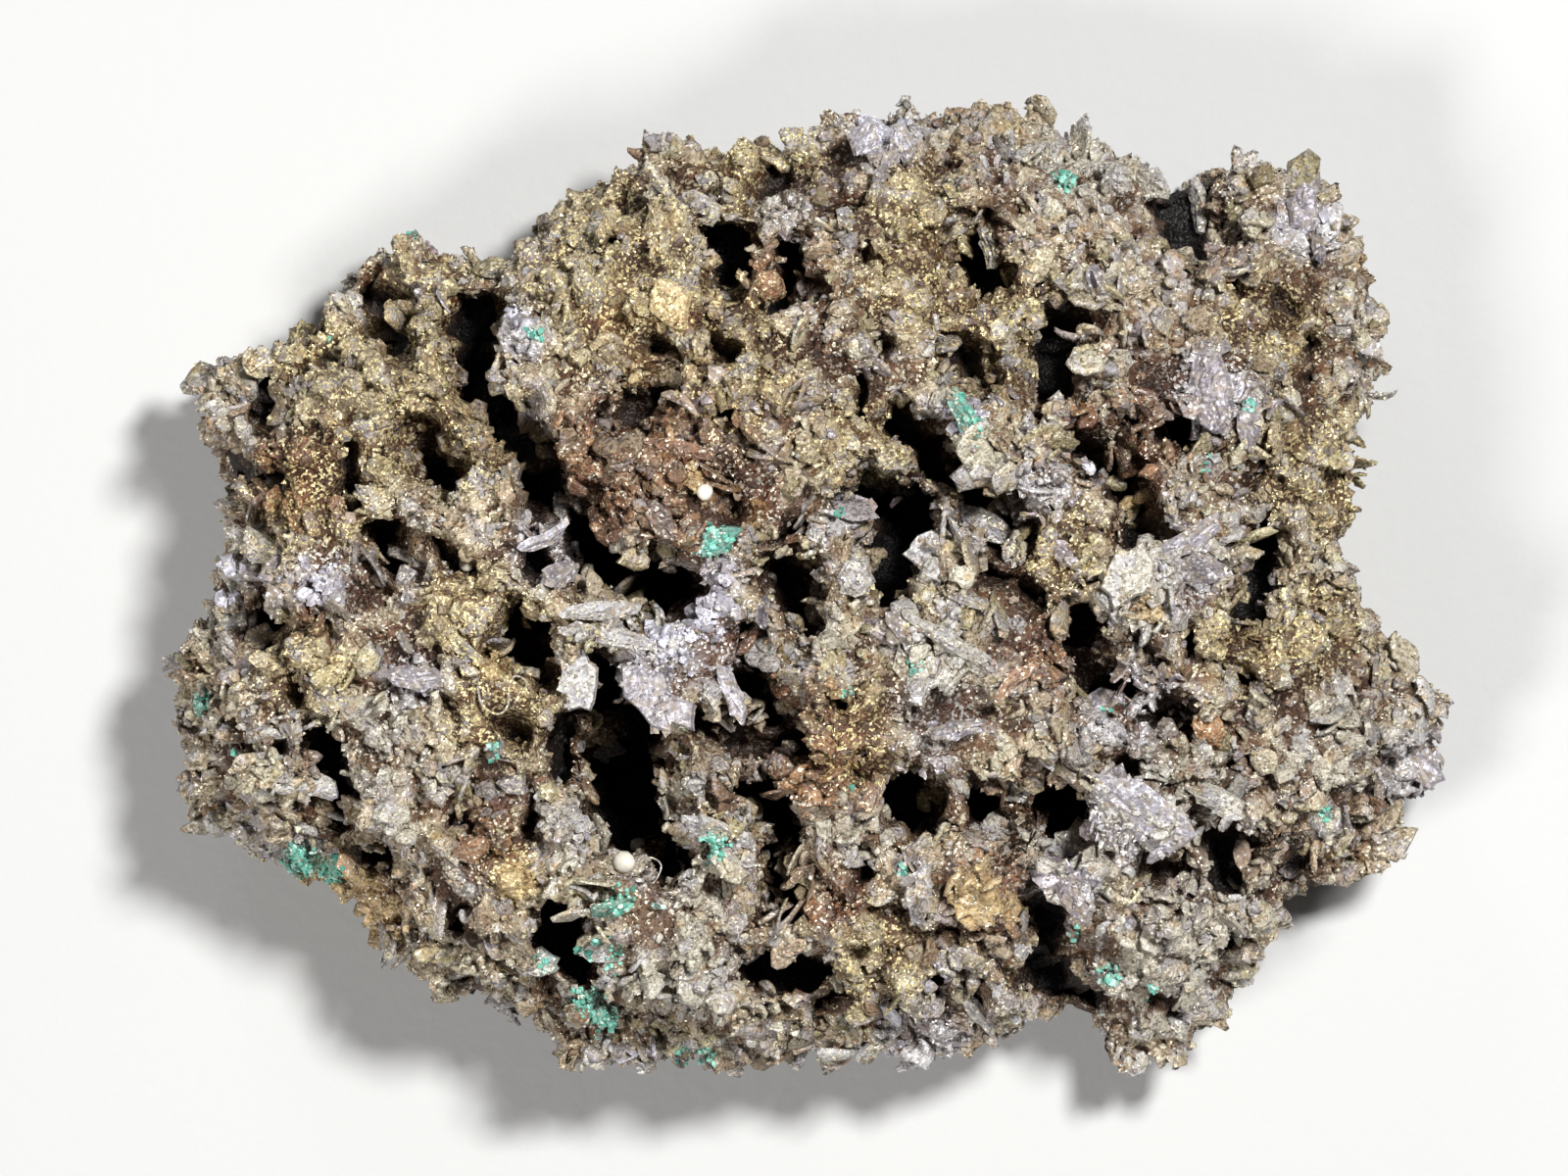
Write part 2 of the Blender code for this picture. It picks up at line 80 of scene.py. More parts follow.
# Hollows between the crystals: width, depth and the points each one runs through, mm
HOLLOWS = [
    (1.2, 5.5, (-14.3, 11.6), (-14.2, 9.5), (-13.2, 7.6), (-11.7, 5.9)),
    (1.2, 4.5, (-11.3, 4.7), (-10.9, 3.8), (-9.8, 3.2), (-9.2, 1.5)),
    (1.6, 6.5, (-8.9, 1.2), (-7.6, 0.3), (-6, -0.3)), (1.4, 5, (-11.7, 0.9), (-10.9, 1.3)),
    (1.2, 4, (-11.9, -1.5), (-12.4, -2.6), (-11.3, -3.5)),
    (1.4, 5, (-8.9, -3.5), (-8.4, -4.8), (-7.1, -6.2)), (2.1, 8.5, (-7.9, -7.4), (-7.6, -9.7)),
    (1, 4.5, (-6.3, -10.3), (-5.7, -11.6)), (1.2, 4.5, (-9.3, -4.9), (-9.9, -6), (-9.9, -7.8)),
    (1, 3, (-12.6, -5.9), (-12.4, -6.1)),
    (1.2, 6.5, (-1.9, -8.8), (-1, -10.1), (-1.1, -11.8), (-0.9, -13.7)),
    (0.8, 3.5, (-3.4, -6.4), (-1.9, -7), (-0.6, -6.4)),
    (1.1, 4, (-2.8, -3.9), (-2.3, -4.8), (-1.7, -5.6)), (1.1, 4, (-5.1, -5.8), (-3.8, -5.8)),
    (1.4, 6, (2.4, 3.4), (4.5, 3.3), (3.8, 2), (3.4, 0.6)), (1, 4.5, (3.9, 6.8), (4.9, 5.6), (5.8, 4.5)),
    (1.1, 4.5, (6.6, 4.7), (7.2, 3.5), (8.4, 2.4)), (1.2, 4, (7.8, 1), (7.9, 0.8)),
    (0.8, 3, (8.9, 0.2), (9.4, -0.5)), (0.8, 4, (-0.8, 0.3), (-0.3, -1)),
    (0.8, 3, (-1, 1.8), (-0.3, 2.6)), (1.1, 6, (6.8, 14.6), (7.6, 13)), (0.8, 4, (7.6, 16), (7.4, 15.2)),
    (1.2, 5, (-3.5, 14.4), (-3.4, 13.5)), (0.9, 4.5, (-0.5, 14), (-1.1, 12.2)),
    (1, 4, (-1.7, 17.9), (-1.7, 16.9)), (0.8, 3.5, (-5.8, 17.8), (-5.4, 16.8)),
    (0.9, 3, (-9, 14.5), (-8.2, 14.9)), (0.8, 3, (0.5, 15.9), (1.7, 16.3)),
    (0.8, 3, (0.6, 11.3), (0.8, 11.1)), (0.7, 3.5, (-4.4, 10.6), (-3.1, 10)),
    (0.8, 3, (-6.4, 10), (-6.2, 9.9)), (0.8, 3.5, (-7.8, 6.9), (-6.3, 8.1)),
    (0.8, 3.5, (2.3, 8.8), (2.3, 7.4)), (0.8, 3.5, (2.3, 11.6), (3.3, 10)),
    (0.8, 4, (6.3, 10), (6.9, 8.5)), (1, 5, (10.6, 10.8), (10.1, 9.9), (10.4, 8.6)),
    (1, 3.5, (9.9, 7.4), (10.1, 7.3)), (1.6, 8, (15.6, 16.8), (15.9, 14.7)),
    (0.8, 4.5, (11.2, 5.8), (13, 5.1), (13.6, 3.8), (13.8, 2.2)), (0.8, 4, (13.8, 6.8), (14, 5.9)),
    (0.8, 4, (15.2, 6.7), (16.3, 7)), (0.9, 3.5, (18.8, 4.7), (19.4, 5.3)),
    (1, 5.5, (19.4, 2), (19.1, 0.3), (18.7, -0.9)), (1.1, 4, (21.5, 10.2), (21.6, 9)),
    (0.6, 4, (11.6, -1.4), (11.1, -2.8), (11.7, -4.3), (13.4, -4.5)),
    (1, 3.5, (12.1, -0.1), (12.3, -0.2)), (1.2, 4, (14.9, -5.8), (15, -6)),
    (0.8, 3.5, (17.7, -3.7), (18.7, -4.1)), (0.9, 3.5, (18.3, -7.6), (18.5, -7.7)),
    (0.7, 3, (24.1, -6.3), (24.5, -7.7)), (1.5, 5.5, (3.3, -9), (4.5, -9.4)),
    (0.8, 3.5, (2.1, -7.7), (2.6, -8.7)), (1.4, 5, (7.3, -9.4), (7.5, -9.5)),
    (1.2, 5, (9.6, -9), (10.8, -9.5), (10.9, -10.5)), (1.2, 5, (17.6, -11.2), (17.9, -12)),
    (0.9, 4, (14.9, -12.2), (15.2, -12.3)), (1, 4.5, (9.8, -13.9), (10.2, -14.9), (9.9, -16.2)),
    (1.3, 5.5, (10.1, -16.8), (11.6, -17.9)), (0.8, 3, (14.7, -17.8), (15.6, -18)),
    (0.8, 3, (17.9, -15.5), (18.7, -15.2)), (1.1, 4.5, (-1.9, -16), (-0.7, -16.5), (-0.1, -16.7)),
    (0.7, 3, (0.5, -18.2), (1.6, -17.5)), (1, 3.5, (5.5, -17.7), (5.7, -17.8)),
    (0.7, 3, (6.8, -17), (7.2, -18.9)), (1.1, 4.5, (-10.5, -13.8), (-10.9, -14.9), (-9.9, -16)),
    (0.6, 3.5, (-15.1, -13.8), (-15.3, -15.3)), (0.6, 3, (-15.1, -17.2), (-13.6, -17.4)),
    (0.8, 3, (-8, -18.5), (-7.8, -18.6)), (1, 4, (-18.5, -11.5), (-18.3, -11.7)),
    (0.9, 3, (-14.9, -10), (-14.7, -10.1)), (0.8, 3.5, (-11.6, -9.3), (-11.9, -10.5)),
    (1, 4.5, (-20.6, -7), (-20, -8), (-20.2, -10)), (1, 3.5, (-22.9, -6.8), (-22.3, -6.8)),
    (0.7, 3.5, (-24.8, -3.8), (-24.8, -5.5)), (0.8, 3, (-21.8, -3.9), (-21.8, -4.9)),
    (1, 4, (-23, -1), (-23.5, -2.4)), (0.7, 3, (-20.9, -1), (-20.1, -2.3)),
    (0.9, 4, (-17.9, 2), (-17.6, 0.9)), (0.7, 4.5, (-15.8, 5.5), (-15.6, 4.4)),
    (1.2, 4, (-24.5, 6), (-24.8, 5.1)), (1.2, 4, (-23.3, 8.4), (-23.4, 7.2)),
    (0.8, 3, (-23.5, 4.5), (-22.1, 4.2)), (0.8, 3, (-20.1, 3.7), (-19.1, 4.5)),
    (0.9, 4.5, (-19.1, 13), (-18.1, 11.9), (-17.4, 10.5)), (1, 3.5, (-19.3, 5.9), (-19.1, 3.4)),
    (0.8, 3.5, (-11.1, 3.4), (-11, 2.9)), (1, 4.5, (-2.4, -2.2), (-2.2, -3.6)),
    (0.7, 3, (-3.8, 7.3), (-2.6, 5.6)), (0.7, 3, (-3.6, 4.2), (-3.2, 3.4)),
    (0.8, 3, (-1.9, 2.5), (-2.3, 1.9)), (0.9, 4, (2.2, -11.3), (2.4, -12.1)),
    (0.8, 3.5, (12.2, -7.9), (14.6, -7.4)), (0.8, 3, (13.3, -2.2), (14.6, -3.6)),
    (0.8, 3.5, (16, -2.3), (16.2, -3.1)), (0.9, 3.5, (20.2, 12.3), (20.6, 11.6)),
    (0.8, 4, (5.2, -16.9), (6.2, -16.3), (7, -17.2)), (0.7, 3, (22.8, -4.3), (23.3, -5)),
    (0.8, 3, (8.5, 18.5), (9, 17.9)), (0.8, 3.5, (18.1, 13.2), (18.4, 12.4)),
    (0.7, 3, (2.3, 14.4), (3.2, 13.5)), (0.6, 2.5, (1, -4.8), (1.1, -5.3)),
    (0.7, 3, (-15.9, 2), (-14, 0.6)), (0.9, 3.5, (-11.2, -16.7), (-10.9, -17.6)),
    (0.6, 2.5, (12.5, 9.9), (12.8, 9.2)),
]

# Patches of colour: place and radius, mm
GREEN = [
    (-3.8, 2, 0.7), (-4, -11, 0.6), (-8, -13.2, 0.6), (-6.5, -13.7, 0.5), (-8.2, -15.5, 0.7),
    (-9.2, -15.3, 0.5), (-9.4, -17.4, 0.7), (-8.6, -18.5, 0.7), (-13.4, -6.9, 0.4), (-25.7, -4.9, 0.4),
    (-24.2, -6.8, 0.3), (-21.5, -11.6, 0.8), (-20.3, -12, 0.6), (-11.3, -15.8, 0.3), (17.1, 5.7, 0.4),
    (16.6, 4.9, 0.3), (18.1, 4.7, 0.4), (18.5, 7.6, 0.3), (13.3, 5.7, 0.3), (10.8, 17.1, 0.5),
    (-11.6, 10.5, 0.3), (-20.1, 10.3, 0.3), (-16.9, 15.1, 0.3), (6.6, 8.2, 0.5), (6.8, 7, 0.4),
    (1.2, 3, 0.2), (4.3, -3.5, 0.3), (1.6, -4.5, 0.3), (-5.3, -6.2, 0.2), (-2.1, -5.5, 0.2),
    (8.3, 2.6, 0.3), (11.4, -9.7, 0.3), (12.6, -4.9, 0.4), (11.2, -14.7, 0.4), (21.8, -9.6, 0.3),
    (11.4, -16.6, 0.4), (12.6, -16.4, 0.5), (14.3, -17.2, 0.4), (12.2, -18.2, 0.4), (-5.3, -19.9, 0.4),
    (-4.4, -19.9, 0.4), (3.9, -12, 0.3), (1.6, -8.5, 0.2),
]
RUST = [
    (-8.6, 3.2, 1.4), (-9.4, 4.5, 1), (-2.1, 3.6, 1), (-6.3, 7.2, 0.8), (-1.7, -4.3, 1), (-1.5, -6.2, 0.8),
    (0.6, -8.9, 0.6), (1.4, -13.2, 0.8), (11.4, 7, 0.8), (14.3, 8, 0.7), (14, 4.5, 1), (9.5, -2.6, 0.7),
    (-21.9, 4.5, 2.1), (-18.5, 13.1, 0.7), (-20.9, -1.5, 0.8), (-14, -11, 0.8), (8.3, -13, 1.3),
    (6.6, -12.8, 1.2), (16.2, -6, 0.6), (-19, -12.8, 1.2), (-20.5, -12.2, 1), (-17.6, -13.9, 0.8),
    (-2.8, -2, 0.6), (-5.3, 11.3, 0.7),
]
OCHRE = [
    (-19, -13.1, 1.3), (-20.6, -12.3, 1), (-17.7, -14.1, 0.9), (6.7, -12.8, 1.1), (8.6, -13.6, 0.7),
    (-8.2, 10.8, 0.9), (-7.1, 9.2, 0.8), (-6.2, 11.5, 0.7), (-13.4, -3.2, 0.8), (14.2, -1, 0.7),
    (-18.4, -13.8, 1.2), (-4.9, 4.6, 0.5), (-4.4, 3.8, 0.4), (-12.4, -12.4, 0.9), (-2.4, 3, 0.7),
    (13.9, 3.2, 0.8),
]
GOLD = [
    (-8.2, 13.2, 4.6), (-1.9, 17.8, 2.9), (4.3, 16.3, 2.1), (-13.8, -1.4, 2.9), (21.8, 4.9, 3.3),
    (-12.6, -12, 1.4), (-14.9, 6.5, 2.9), (2.2, 5.7, 2.5), (7.6, 11.1, 2.9), (2.2, -6.4, 2.5),
    (21, -1.8, 2.5), (-3.6, 11.1, 2.5), (-21.9, 10.7, 2.5), (10.6, 1.5, 2.1), (18.1, -2.2, 2.1),
    (3.1, -16, 2.5), (19.3, 11.1, 2.5), (-17.5, 8, 4.2), (-20.8, 3.6, 3.2), (-13, -5, 2.6), (-3, 8.5, 2.6),
    (5, 13, 3), (-21, -3.5, 2.2), (-16.6, 12.4, 2.2),
]
# Wider places where the crust is warmer
WARM = [
    (-5, 4.5, 4.2), (0.5, -7, 3.4), (14.2, 6.5, 2.2), (-9, 6, 2.5), (7.5, -13, 2.5), (-13.5, -10.5, 2),
    (9.5, -2.8, 2), (-20.5, 4.5, 2.4), (0.5, -13, 2), (-18.5, -12.8, 2), (-1, 13, 2),
]
# Places thick with bright lilac crystals
SILVER = [
    (-4.2, 0.5, 1), (-4.8, -0.8, 1.3), (-5.7, -2.2, 1.2), (-4.3, -2.4, 1.2), (3.1, 19.2, 1.1),
    (-20.5, 0.3, 1), (-12.3, 11, 0.6), (-24.6, 0.2, 0.8), (6.3, 7, 0.7),
]
PALE = [
    (12, 18.4, 2.5), (21.8, -6.4, 2.3), (15.6, -9.7, 3.3), (-9.9, -10.3, 1.7), (-23.5, 1.1, 1.4),
    (-7.8, -11.6, 0.6), (-5.3, -1, 1.7), (13.5, 0.3, 2.1), (11.4, -11, 2.1), (16.8, -13.9, 2.5),
    (14.7, -16.8, 2.5), (1.8, -9.7, 2.1), (5.1, -4.3, 2.1), (-5.3, -16, 2.5), (-18.6, -6.8, 2.5),
    (8.1, -11, 1.7), (3.1, 19.9, 1.7), (-5.5, -13.4, 2.4), (-4.4, 0.2, 1.6), (-4.6, 2.8, 0.9),
    (14.3, 17, 1.2), (4.7, -5.5, 1.8), (0.4, -2.2, 1), (11.6, -11, 1), (-14.4, -11.8, 1.2),
    (-9.4, -16.8, 1.2), (0.2, -16, 0.9), (17.2, -16.8, 1.2), (-25.3, -1.8, 1), (-7, 9, 0.9),
    (-7.8, 10.7, 0.9), (-5.7, -8.9, 0.8), (19.4, -10.9, 1), (8.5, -2.2, 1.2), (12.6, 6.8, 0.9),
    (-19.5, -12.6, 1.4),
]
LILAC = [
    (3.1, 19.5, 1.8), (15.6, 0.3, 1.6), (13.5, -9.7, 2.2), (10.6, -12.6, 1.6), (-4.4, -2, 2.1),
    (5.1, -5.5, 1.8), (20.8, 15.4, 1.4), (16.8, 8.2, 2.1), (-11.9, 10.7, 1.2), (-20.5, 0.3, 1.4),
    (-7.1, -4.3, 1.8), (25.6, -8, 1.6), (4.7, -19.3, 1.8), (13.5, -5.1, 2.1), (-1.1, 16.1, 1.2),
    (-16.5, -3.9, 1.4), (1.4, 3, 0.8), (9.7, 4, 1.2), (-11.1, 1.5, 1.7), (-4, 0.3, 1.3),
    (-3.7, -3.6, 1.2),
]

# Round pale grains: place and radius, mm
BEADS = [(-14.4, 0.9, 0.33), (-7.8, -11.6, 0.50), (-7.3, -11.0, 0.34), (-4.4, 3.9, 0.36), (-4.0, 4.5, 0.28)]

# Large crystals: place, length and width in mm, heading in the plan and tilt in degrees
PLATES = [
    (-11.9, 10.5, 1.8, 1.3, -60, 35), (-6.1, 17, 1.9, 0.8, -50, 55), (-4.5, 16, 1.9, 0.8, -25, 40),
    (2.3, 19, 1.7, 1.3, 70, 40), (3.7, 18.6, 1.9, 0.9, -80, 50), (20.8, 16, 2.2, 1.3, -90, 20),
    (16.8, 8.2, 3.8, 1.8, -80, 25), (18.4, 6.9, 2.3, 1.1, -90, 40), (14.6, 17, 1.8, 1.2, -40, 20),
    (16.6, 16.2, 2.2, 1, -80, 60), (7.8, 14.3, 1.8, 0.9, -75, 30), (-9.3, 12.4, 2.5, 1.5, -80, 15),
    (-5.8, 11.8, 2.5, 1.8, -60, 15), (-0.5, 11.1, 1.8, 1.1, 10, 20), (3.5, 5.4, 1.5, 1.1, 20, 20),
    (-2.8, 6.1, 2.2, 0.8, -70, 60), (-5.5, 5.8, 2.9, 0.8, -8, 45), (-3.8, 1.7, 2.2, 1.2, 30, 25),
    (-6.3, 2.8, 2, 0.9, -55, 30), (1.6, 3.2, 1.5, 1.4, 0, 10), (1.8, 0.3, 1.7, 1.5, -80, 15),
    (5.1, 1.3, 2.2, 1.6, -10, 15), (7.3, 2.4, 3.2, 1.2, -35, 25), (8.7, 1.3, 1.5, 1.1, -90, 30),
    (5.5, -2.3, 3.8, 0.9, -32, 55), (6.6, -3.3, 3.3, 0.9, -38, 50), (6, -6, 2.2, 0.8, 10, 30),
    (8.4, -3.8, 2.2, 0.9, 40, 50), (-11.3, 2.1, 2.2, 0.8, 20, 40), (-10.5, 3.2, 1.5, 0.8, -80, 30),
    (-10.6, 0.5, 1.6, 1.3, 0, 20), (-9.8, -3.9, 2.6, 1.6, -85, 20), (-8.8, -1.2, 3.5, 0.9, 8, 60),
    (-8.4, -2.3, 3.8, 0.9, -10, 50), (-6.4, -5, 3.8, 1.7, -50, 25), (-3.5, -4.5, 2.6, 0.8, -60, 60),
    (-16.5, -3.9, 2.6, 1, -5, 35), (-14.6, -2.6, 1.9, 0.6, -45, 60), (-24.1, 0.2, 2.6, 1, -42, 40),
    (-23.1, 1.6, 1.9, 1.3, -20, 20), (-20.9, -8.5, 2.2, 1, -15, 40), (-8.9, -7, 1.8, 1.3, 0, 30),
    (-11.4, -16, 2.2, 1.2, -12, 20), (-8.5, -15.5, 2.2, 0.9, -5, 30), (13.9, -9.4, 4.7, 2.5, -40, 20),
    (11.3, -11, 2.2, 1.8, -15, 20), (10.9, -12.7, 3, 1.3, -60, 30), (6.9, -13, 2.6, 1.9, -65, 12),
    (4.5, -12.8, 2.6, 1.2, -95, 30), (8.7, -8.7, 2.2, 0.9, -20, 30), (17.1, -9.2, 2.6, 1.1, -25, 30),
    (12.6, -5.1, 2, 1.2, 0, 20), (15.9, 2, 3.1, 1, 33, 30), (13.5, 0.3, 2.6, 1.8, 70, 25),
    (16.2, 0.8, 2.2, 1.6, 0, 20), (6.8, -18, 2.3, 0.7, -45, 60), (6.6, 7, 2.6, 0.9, -60, 40),
    (-3.8, -10, 3.4, 1.2, -30, 30), (26, -7.6, 2.2, 1.2, -55, 20),
]

# Thin wires: thickness and the points each one runs through, mm
WIRES = [
    (0.05, (3.7, -1.1), (4.4, -1.2), (5.1, -1.3), (5.4, -1.2), (5.5, -1.4), (5.1, -1.5), (5.0, -1.3),
     (5.9, -1.6)),
    (0.08, (-7.0, -11.2), (-7.1, -10.7), (-6.7, -10.6), (-6.4, -10.5)),
    (0.08, (-7.2, -11.7), (-6.8, -11.3), (-6.2, -11.6), (-6.3, -12.1), (-6.7, -12.6)),
    (0.08, (-5.6, -11.6), (-5.3, -11.8), (-5.4, -12.3), (-5.7, -12.8)),
    (0.35, (-6.3, -10.0), (-5.7, -10.8), (-5.3, -11.9)),
    (0.12, (-13.9, -4.2), (-13.8, -4.9), (-13.4, -5.3), (-12.9, -5.4), (-12.6, -5.0), (-12.6, -4.2)),
    (0.10, (-12.6, -4.3), (-12.4, -3.7), (-11.9, -3.9), (-11.8, -4.2), (-12.3, -4.6)),
]

# How far the wires arch over the crust, and how thick the large crystals are, mm
WIRE_ARCH = 0.4
PLATE_THICKNESS = 0.34

# How many of each small thing are sown, and the leaves' tilts in degrees
LEAF_STACKS = 500
BARE_STACKS = 240
CRUMBS = 2400
SILVER_CRUMBS = 420
GRANULES = 24000
GRAINS = 33000
GREEN_CRUMBS = 1100
LEAF_TILTS = (5, 75)

# A height above the whole specimen to cast rays down from, m
ABOVE = 0.1


# Small tools

def smoothstep(value):
    value = np.clip(value, 0.0, 1.0)
    return value * value * (3.0 - 2.0 * value)


def rows_of(items, what, kind=np.float32):
    """Three numbers of each of a mesh's items, in a row for each item."""
    values = np.empty(len(items) * 3, kind)
    items.foreach_get(what, values)
    return values.reshape(-1, 3)


def points_of(mesh):
    return rows_of(mesh.vertices, "co").astype(float)


def linked(name, data):
    """A new object in the scene."""
    obj = bpy.data.objects.new(name, data)
    bpy.context.scene.collection.objects.link(obj)
    return obj


def distance_to_path(plan, path):
    """Distance in the plan from each point to a run of straight pieces."""
    gap = np.full(len(plan), np.inf)
    for start, end in zip(path[:-1], path[1:]):
        start = np.array(start) * MM
        along = np.array(end) * MM - start
        share = np.clip(((plan - start) @ along) / (along @ along), 0.0, 1.0)
        gap = np.minimum(gap, np.linalg.norm(plan - start - share[:, None] * along, axis=1))
    return gap


def spotted(plan, spots, soft=1.0):
    """1 inside any of the round spots, falling to 0 outside."""
    found = np.zeros(len(plan))
    for x, y, radius in spots:
        off = np.linalg.norm(plan - np.array((x, y)) * MM, axis=1) / (radius * MM)
        found = np.maximum(found, 1.0 - smoothstep((off - 1.0 + 0.5 * soft) / soft))
    return found


def hollow_share(plan):
    """How deep in a hollow each point in the plan lies, from 0 to 1 at the middle of the deepest ones."""
    found = np.zeros(len(plan))
    for width, depth, *path in HOLLOWS:
        off = distance_to_path(plan, path) / (width * HOLLOW_WIDEN * MM)
        found = np.maximum(found, (1.0 - smoothstep(off)) * min(1.0, depth / 5.5))
    return found


def tree_of(obj):
    return BVHTree.FromObject(obj, bpy.context.evaluated_depsgraph_get())


def drop(tree, x, y):
    """Place and normal where a plumb line at x, y in the plan first meets the surface."""
    place, normal, _, _ = tree.ray_cast(Vector((x, y, ABOVE)), Vector((0, 0, -1)))
    return place, normal


def level_chart():
    """Height of the solid's top, smoothed over a few millimetres, on a grid in the plan."""
    tree = tree_of(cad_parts[NODE])
    across = np.arange(CAD_BOX[0][0], CAD_BOX[1][0] + CHART_STEP, CHART_STEP)
    along = np.arange(CAD_BOX[0][1], CAD_BOX[1][1] + CHART_STEP, CHART_STEP)
    heights = np.zeros((len(across), len(along)))
    for i, x in enumerate(across):
        for j, y in enumerate(along):
            place = drop(tree, x, y)[0]
            if place is not None:
                heights[i, j] = place.z
    reach = np.arange(-9, 10)
    soft = np.exp(-0.5 * (reach / CHART_BLUR) ** 2)
    soft /= soft.sum()
    for axis in (0, 1):
        heights = np.apply_along_axis(np.convolve, axis, heights, soft, "same")
    return heights


def chart_at(points):
    place = np.round((points[:, :2] - np.array(CAD_BOX[0][:2])) / CHART_STEP).astype(int)
    place = np.clip(place, 0, np.array(CHART.shape) - 1)
    return CHART[place[:, 0], place[:, 1]]


def sunk(points, facing):
    """1 where a point lies well below the surface around it, for parts that face up."""
    gap = chart_at(points) - points[:, 2]
    return smoothstep((gap + 0.2 * MM) / SUNK_DEPTH) * np.clip(facing + 0.4, 0.0, 1.0)


def near_top(points):
    """1 on the tops and 0 well below them, so that a patch doesn't run down a flank."""
    return 1.0 - smoothstep((chart_at(points) - points[:, 2] + 1.0 * MM) / (2.2 * MM))


CHART = level_chart()


def in_cad_box(points):
    """Keeps points inside the box of the solid."""
    low, high = np.array(CAD_BOX[0]), np.array(CAD_BOX[1])
    return np.clip(points, low, high)


def new_mesh(name, points, faces, material, looks, smooth):
    """A mesh from arrays, faces given as one row of corners each, with its colour attributes."""
    mesh = bpy.data.meshes.new(name)
    corners = faces.shape[1]
    mesh.vertices.add(len(points))
    mesh.vertices.foreach_set("co", in_cad_box(points).astype(np.float32).ravel())
    mesh.loops.add(faces.size)
    mesh.loops.foreach_set("vertex_index", faces.astype(np.int32).ravel())
    mesh.polygons.add(len(faces))
    mesh.polygons.foreach_set("loop_start", np.arange(0, faces.size, corners, dtype=np.int32))
    mesh.polygons.foreach_set("use_smooth", np.full(len(faces), smooth))
    mesh.update(calc_edges=True)
    add_attributes(mesh, looks)
    mesh.materials.append(material)
    obj = linked(name, mesh)
    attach(obj, "root")
    return obj


def add_attributes(mesh, looks):
    for layer, values in (("zones", looks[:, :4]), ("looks", looks[:, 4:])):
        attribute = mesh.attributes.new(layer, "FLOAT_COLOR", "POINT")
        attribute.data.foreach_set("color", np.ascontiguousarray(values, np.float32).ravel())


def looks_of(points, tone_and_shade, kin, facing):
    """Eight shares at each point: gold, rust, green, lilac, tone with painted shade, kin, pale and ochre.
    """
    plan = points[:, :2]
    low = sunk(points, facing)
    warm = np.maximum(0.80 * spotted(plan, WARM, 1.2), 0.70 * low)
    rust = np.maximum(spotted(plan, RUST, 0.9), warm)
    # Painted shade: things that face up are darker where they sit below the surface around them
    tone_and_shade = tone_and_shade * (1.0 - 0.58 * low)
    return np.stack([
        spotted(plan, GOLD, 0.9), rust, spotted(plan, GREEN, 0.6) * near_top(points),
        spotted(plan, LILAC, 0.8), tone_and_shade, kin, spotted(plan, PALE, 0.9), spotted(plan, OCHRE, 0.7),
    ], axis=1)


# Materials

